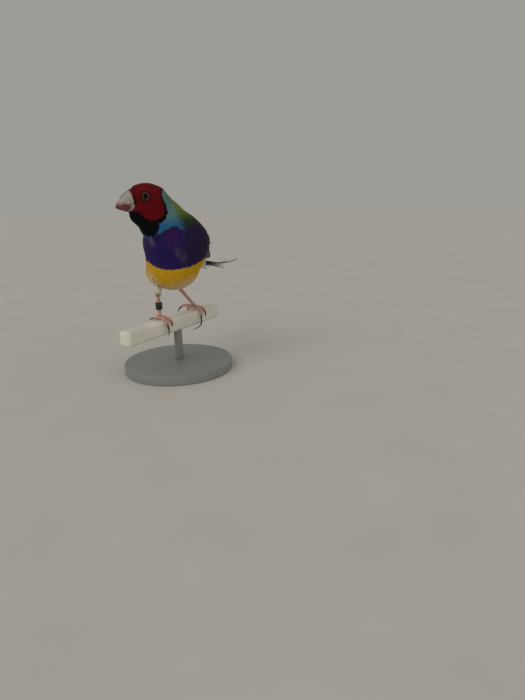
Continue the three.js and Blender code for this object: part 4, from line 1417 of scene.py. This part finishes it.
def make_legs(skin):
    for side, (foot, toes) in TOES.items():
        for node in (f"foot_{side}", f"shank_{side}"):
            piece = smoothed(node, node + "_skin", LEG_VOXEL, 5)
            points = points_of(piece)
            set_numbers(piece, "along", along_toes(points, foot, toes) if "foot" in node else points[:, 2])
            finish_piece(piece, "leg_skin", LEG, node)
        for toe, (*_, knuckle, joint) in toes.items():
            knuckle, joint = on_perch(*knuckle), on_perch(*joint)
            piece = smoothed(f"claw_{side}_{toe}", f"nail_{side}_{toe}", CLAW_VOXEL, 3)
            points = points_of(piece)
            along = distance(points, joint)
            set_points(piece, points + unit(knuckle - joint) * (0.5 * ease(1.1, 0.5, along))[:, None])
            set_numbers(piece, "along", along)
            finish_piece(piece, "claw", CLAW, f"claw_{side}_{toe}")
        thigh = smoothed(f"thigh_{side}", f"thigh_{side}_skin", THIGH_VOXEL, 5)
        set_points(thigh, points_of(thigh) - normals_of(thigh) * THIGH_INSET)
        set_marks(thigh, WHITE)
        finish_piece(thigh, "thigh_feathers", SHADED_DOWN, f"thigh_{side}")
        make_thigh_coat(thigh, skin, side)


def make_thigh_coat(thigh, skin, side):
    """White down on the thigh, and a tuft from the belly over its upper end."""
    top = points_of(thigh)
    top = top[top[:, 2] > top[:, 2].max() - 1.5].mean(0)
    places, facing = places_on(thigh, THIGH_TRIES)
    belly, belly_facing = places_on(skin, BELLY_TRIES)
    close = distance(belly, top) < TUFT_REACH
    places, facing = np.concatenate([places, belly[close]]), np.concatenate([facing, belly_facing[close]])
    places, facing = thinned(places, facing, THIGH_SPACE)
    length = np.where(distance(places, top) < TUFT_REACH, 3.4, 2.3)
    ways = level_with(np.array([0.0, 0.1, -1.0]) + 0.16 * RANDOM.normal(size=places.shape), facing)
    path, normals = walk(tree_of(thigh, skin), places, ways, length * RANDOM.uniform(0.8, 1.2, len(length)), 4)
    vanes = lay_vanes(path, normals, 0.36 * length, CONTOUR_OUTLINE, 0.2, 0.14, 0.75, CONTOUR_RISE)
    points = vanes.points.reshape(-1, 3)
    low = ease(52.5, 49.5, points[:, 2] + 0.5 * waver(points, 1.0))
    make_coat(f"thigh_{side}_coat", "thigh_feathers", vanes, SATIN, over(THIGH_LOW, WHITE, 0.8 * low))


def make_ring():
    ring = copy_of(["leg_ring"], "ring_band")
    bevel(ring, 0.22, 4, sharp=50, smooth=35)
    finish_piece(ring, "leg_ring", RING, "leg_ring")


# Perch and stand


def make_perch():
    """A square bar with rounded edges."""
    length = PERCH_FAR - PERCH_NEAR
    middle = on_perch((PERCH_NEAR + PERCH_FAR) / 2, 0, 0)
    bar = primitive(
        bpy.ops.mesh.primitive_cube_add, "perch_bar", size=1, location=middle * MM,
        rotation=(0, 0, -PERCH_TURN), scale=(PERCH_SIZE * MM, length * MM, PERCH_SIZE * MM),
    )
    with edit_mode(bar):
        bpy.ops.mesh.bevel(offset=PERCH_CORNER * MM, segments=8, profile=0.5)
    bpy.ops.object.shade_smooth_by_angle(angle=math.radians(35))
    finish_piece(bar, "perch_plastic", PERCH, "perch")


def make_stand():
    """A disc and a short rod under the perch, each running a little short of what it meets."""
    x, y, _ = on_perch(1, 0, 0)
    low, high = STAND_THICK + 0.3, PERCH_HEIGHT - PERCH_SIZE / 2 - 0.3
    for name, node, sides, radius, start, end, place, edge, segments in (
        ("stand_disc", "stand_base", 160, STAND_RADIUS, 0, STAND_THICK, (0, 0), 0.9, 5),
        ("stand_rod", "stand_post", 64, POST_RADIUS, low, high, (x, y), 0.3, 3),
    ):
        location = (place[0] * MM, place[1] * MM, (start + end) / 2 * MM)
        piece = primitive(
            bpy.ops.mesh.primitive_cylinder_add, name, vertices=sides, radius=radius * MM,
            depth=(end - start) * MM, location=location,
        )
        bevel(piece, edge, segments, sharp=50, smooth=30)
        finish_piece(piece, "stand", PAINT, node)


body_skin = make_skin()
make_feathers(body_skin, make_bill(), make_eyes())
make_wing(1)
make_wing(-1)
make_tail()
make_legs(body_skin)
make_ring()
make_perch()
make_stand()


# Floor, light and camera

ROOM_COLOUR = (0.62, 0.6, 0.56, 1)
ROOM_LIGHT = 0.55
# Name, where it shines from, strength and how soft it is in degrees
LAMPS = (("key", (-0.5, -0.9, 0.75), 0.75, 50), ("fill", (0.9, -0.5, 0.5), 0.2, 60))
CAMERA_PLACE = (0.1227, -0.2919, 0.1063)
CAMERA_TURN, CAMERA_PITCH, CAMERA_ROLL = math.radians(13), math.radians(17.1), math.radians(1.6)
SENSOR = 36
LENS = 510 / 700 * SENSOR


def make_stage():
    floor = primitive(bpy.ops.mesh.primitive_plane_add, "floor", size=6, location=(0, 0, 0))
    floor.data.materials.append(FLOOR)
    world = bpy.data.worlds.new("soft_room")
    world.use_nodes = True
    background = world.node_tree.nodes["Background"]
    background.inputs[0].default_value = ROOM_COLOUR
    background.inputs[1].default_value = ROOM_LIGHT
    bpy.context.scene.world = world
    for name, place, power, spread in LAMPS:
        data = bpy.data.lights.new(name, "SUN")
        data.energy, data.angle = power, math.radians(spread)
        lamp = bpy.data.objects.new(name, data)
        lamp.rotation_euler = (-Vector(place)).to_track_quat("-Z", "Y").to_euler()
        bpy.context.collection.objects.link(lamp)


def make_camera():
    turn, pitch, roll = CAMERA_TURN, CAMERA_PITCH, CAMERA_ROLL
    right = Vector((math.cos(turn), math.sin(turn), 0))
    level = Vector((-math.sin(turn), math.cos(turn), 0)) * math.cos(pitch)
    forward = level - Vector((0, 0, math.sin(pitch)))
    up = right.cross(forward)
    x_axis = right * math.cos(roll) - up * math.sin(roll)
    y_axis = up * math.cos(roll) + right * math.sin(roll)
    data = bpy.data.cameras.new("view")
    data.lens, data.sensor_width = LENS, SENSOR
    camera = bpy.data.objects.new("view", data)
    turned = Matrix((x_axis, y_axis, -forward)).transposed().to_4x4()
    camera.matrix_world = Matrix.Translation(CAMERA_PLACE) @ turned
    bpy.context.collection.objects.link(camera)
    bpy.context.scene.camera = camera


make_stage()
make_camera()
bpy.context.scene.view_settings.view_transform = "Standard"

bpy.context.view_layer.update()
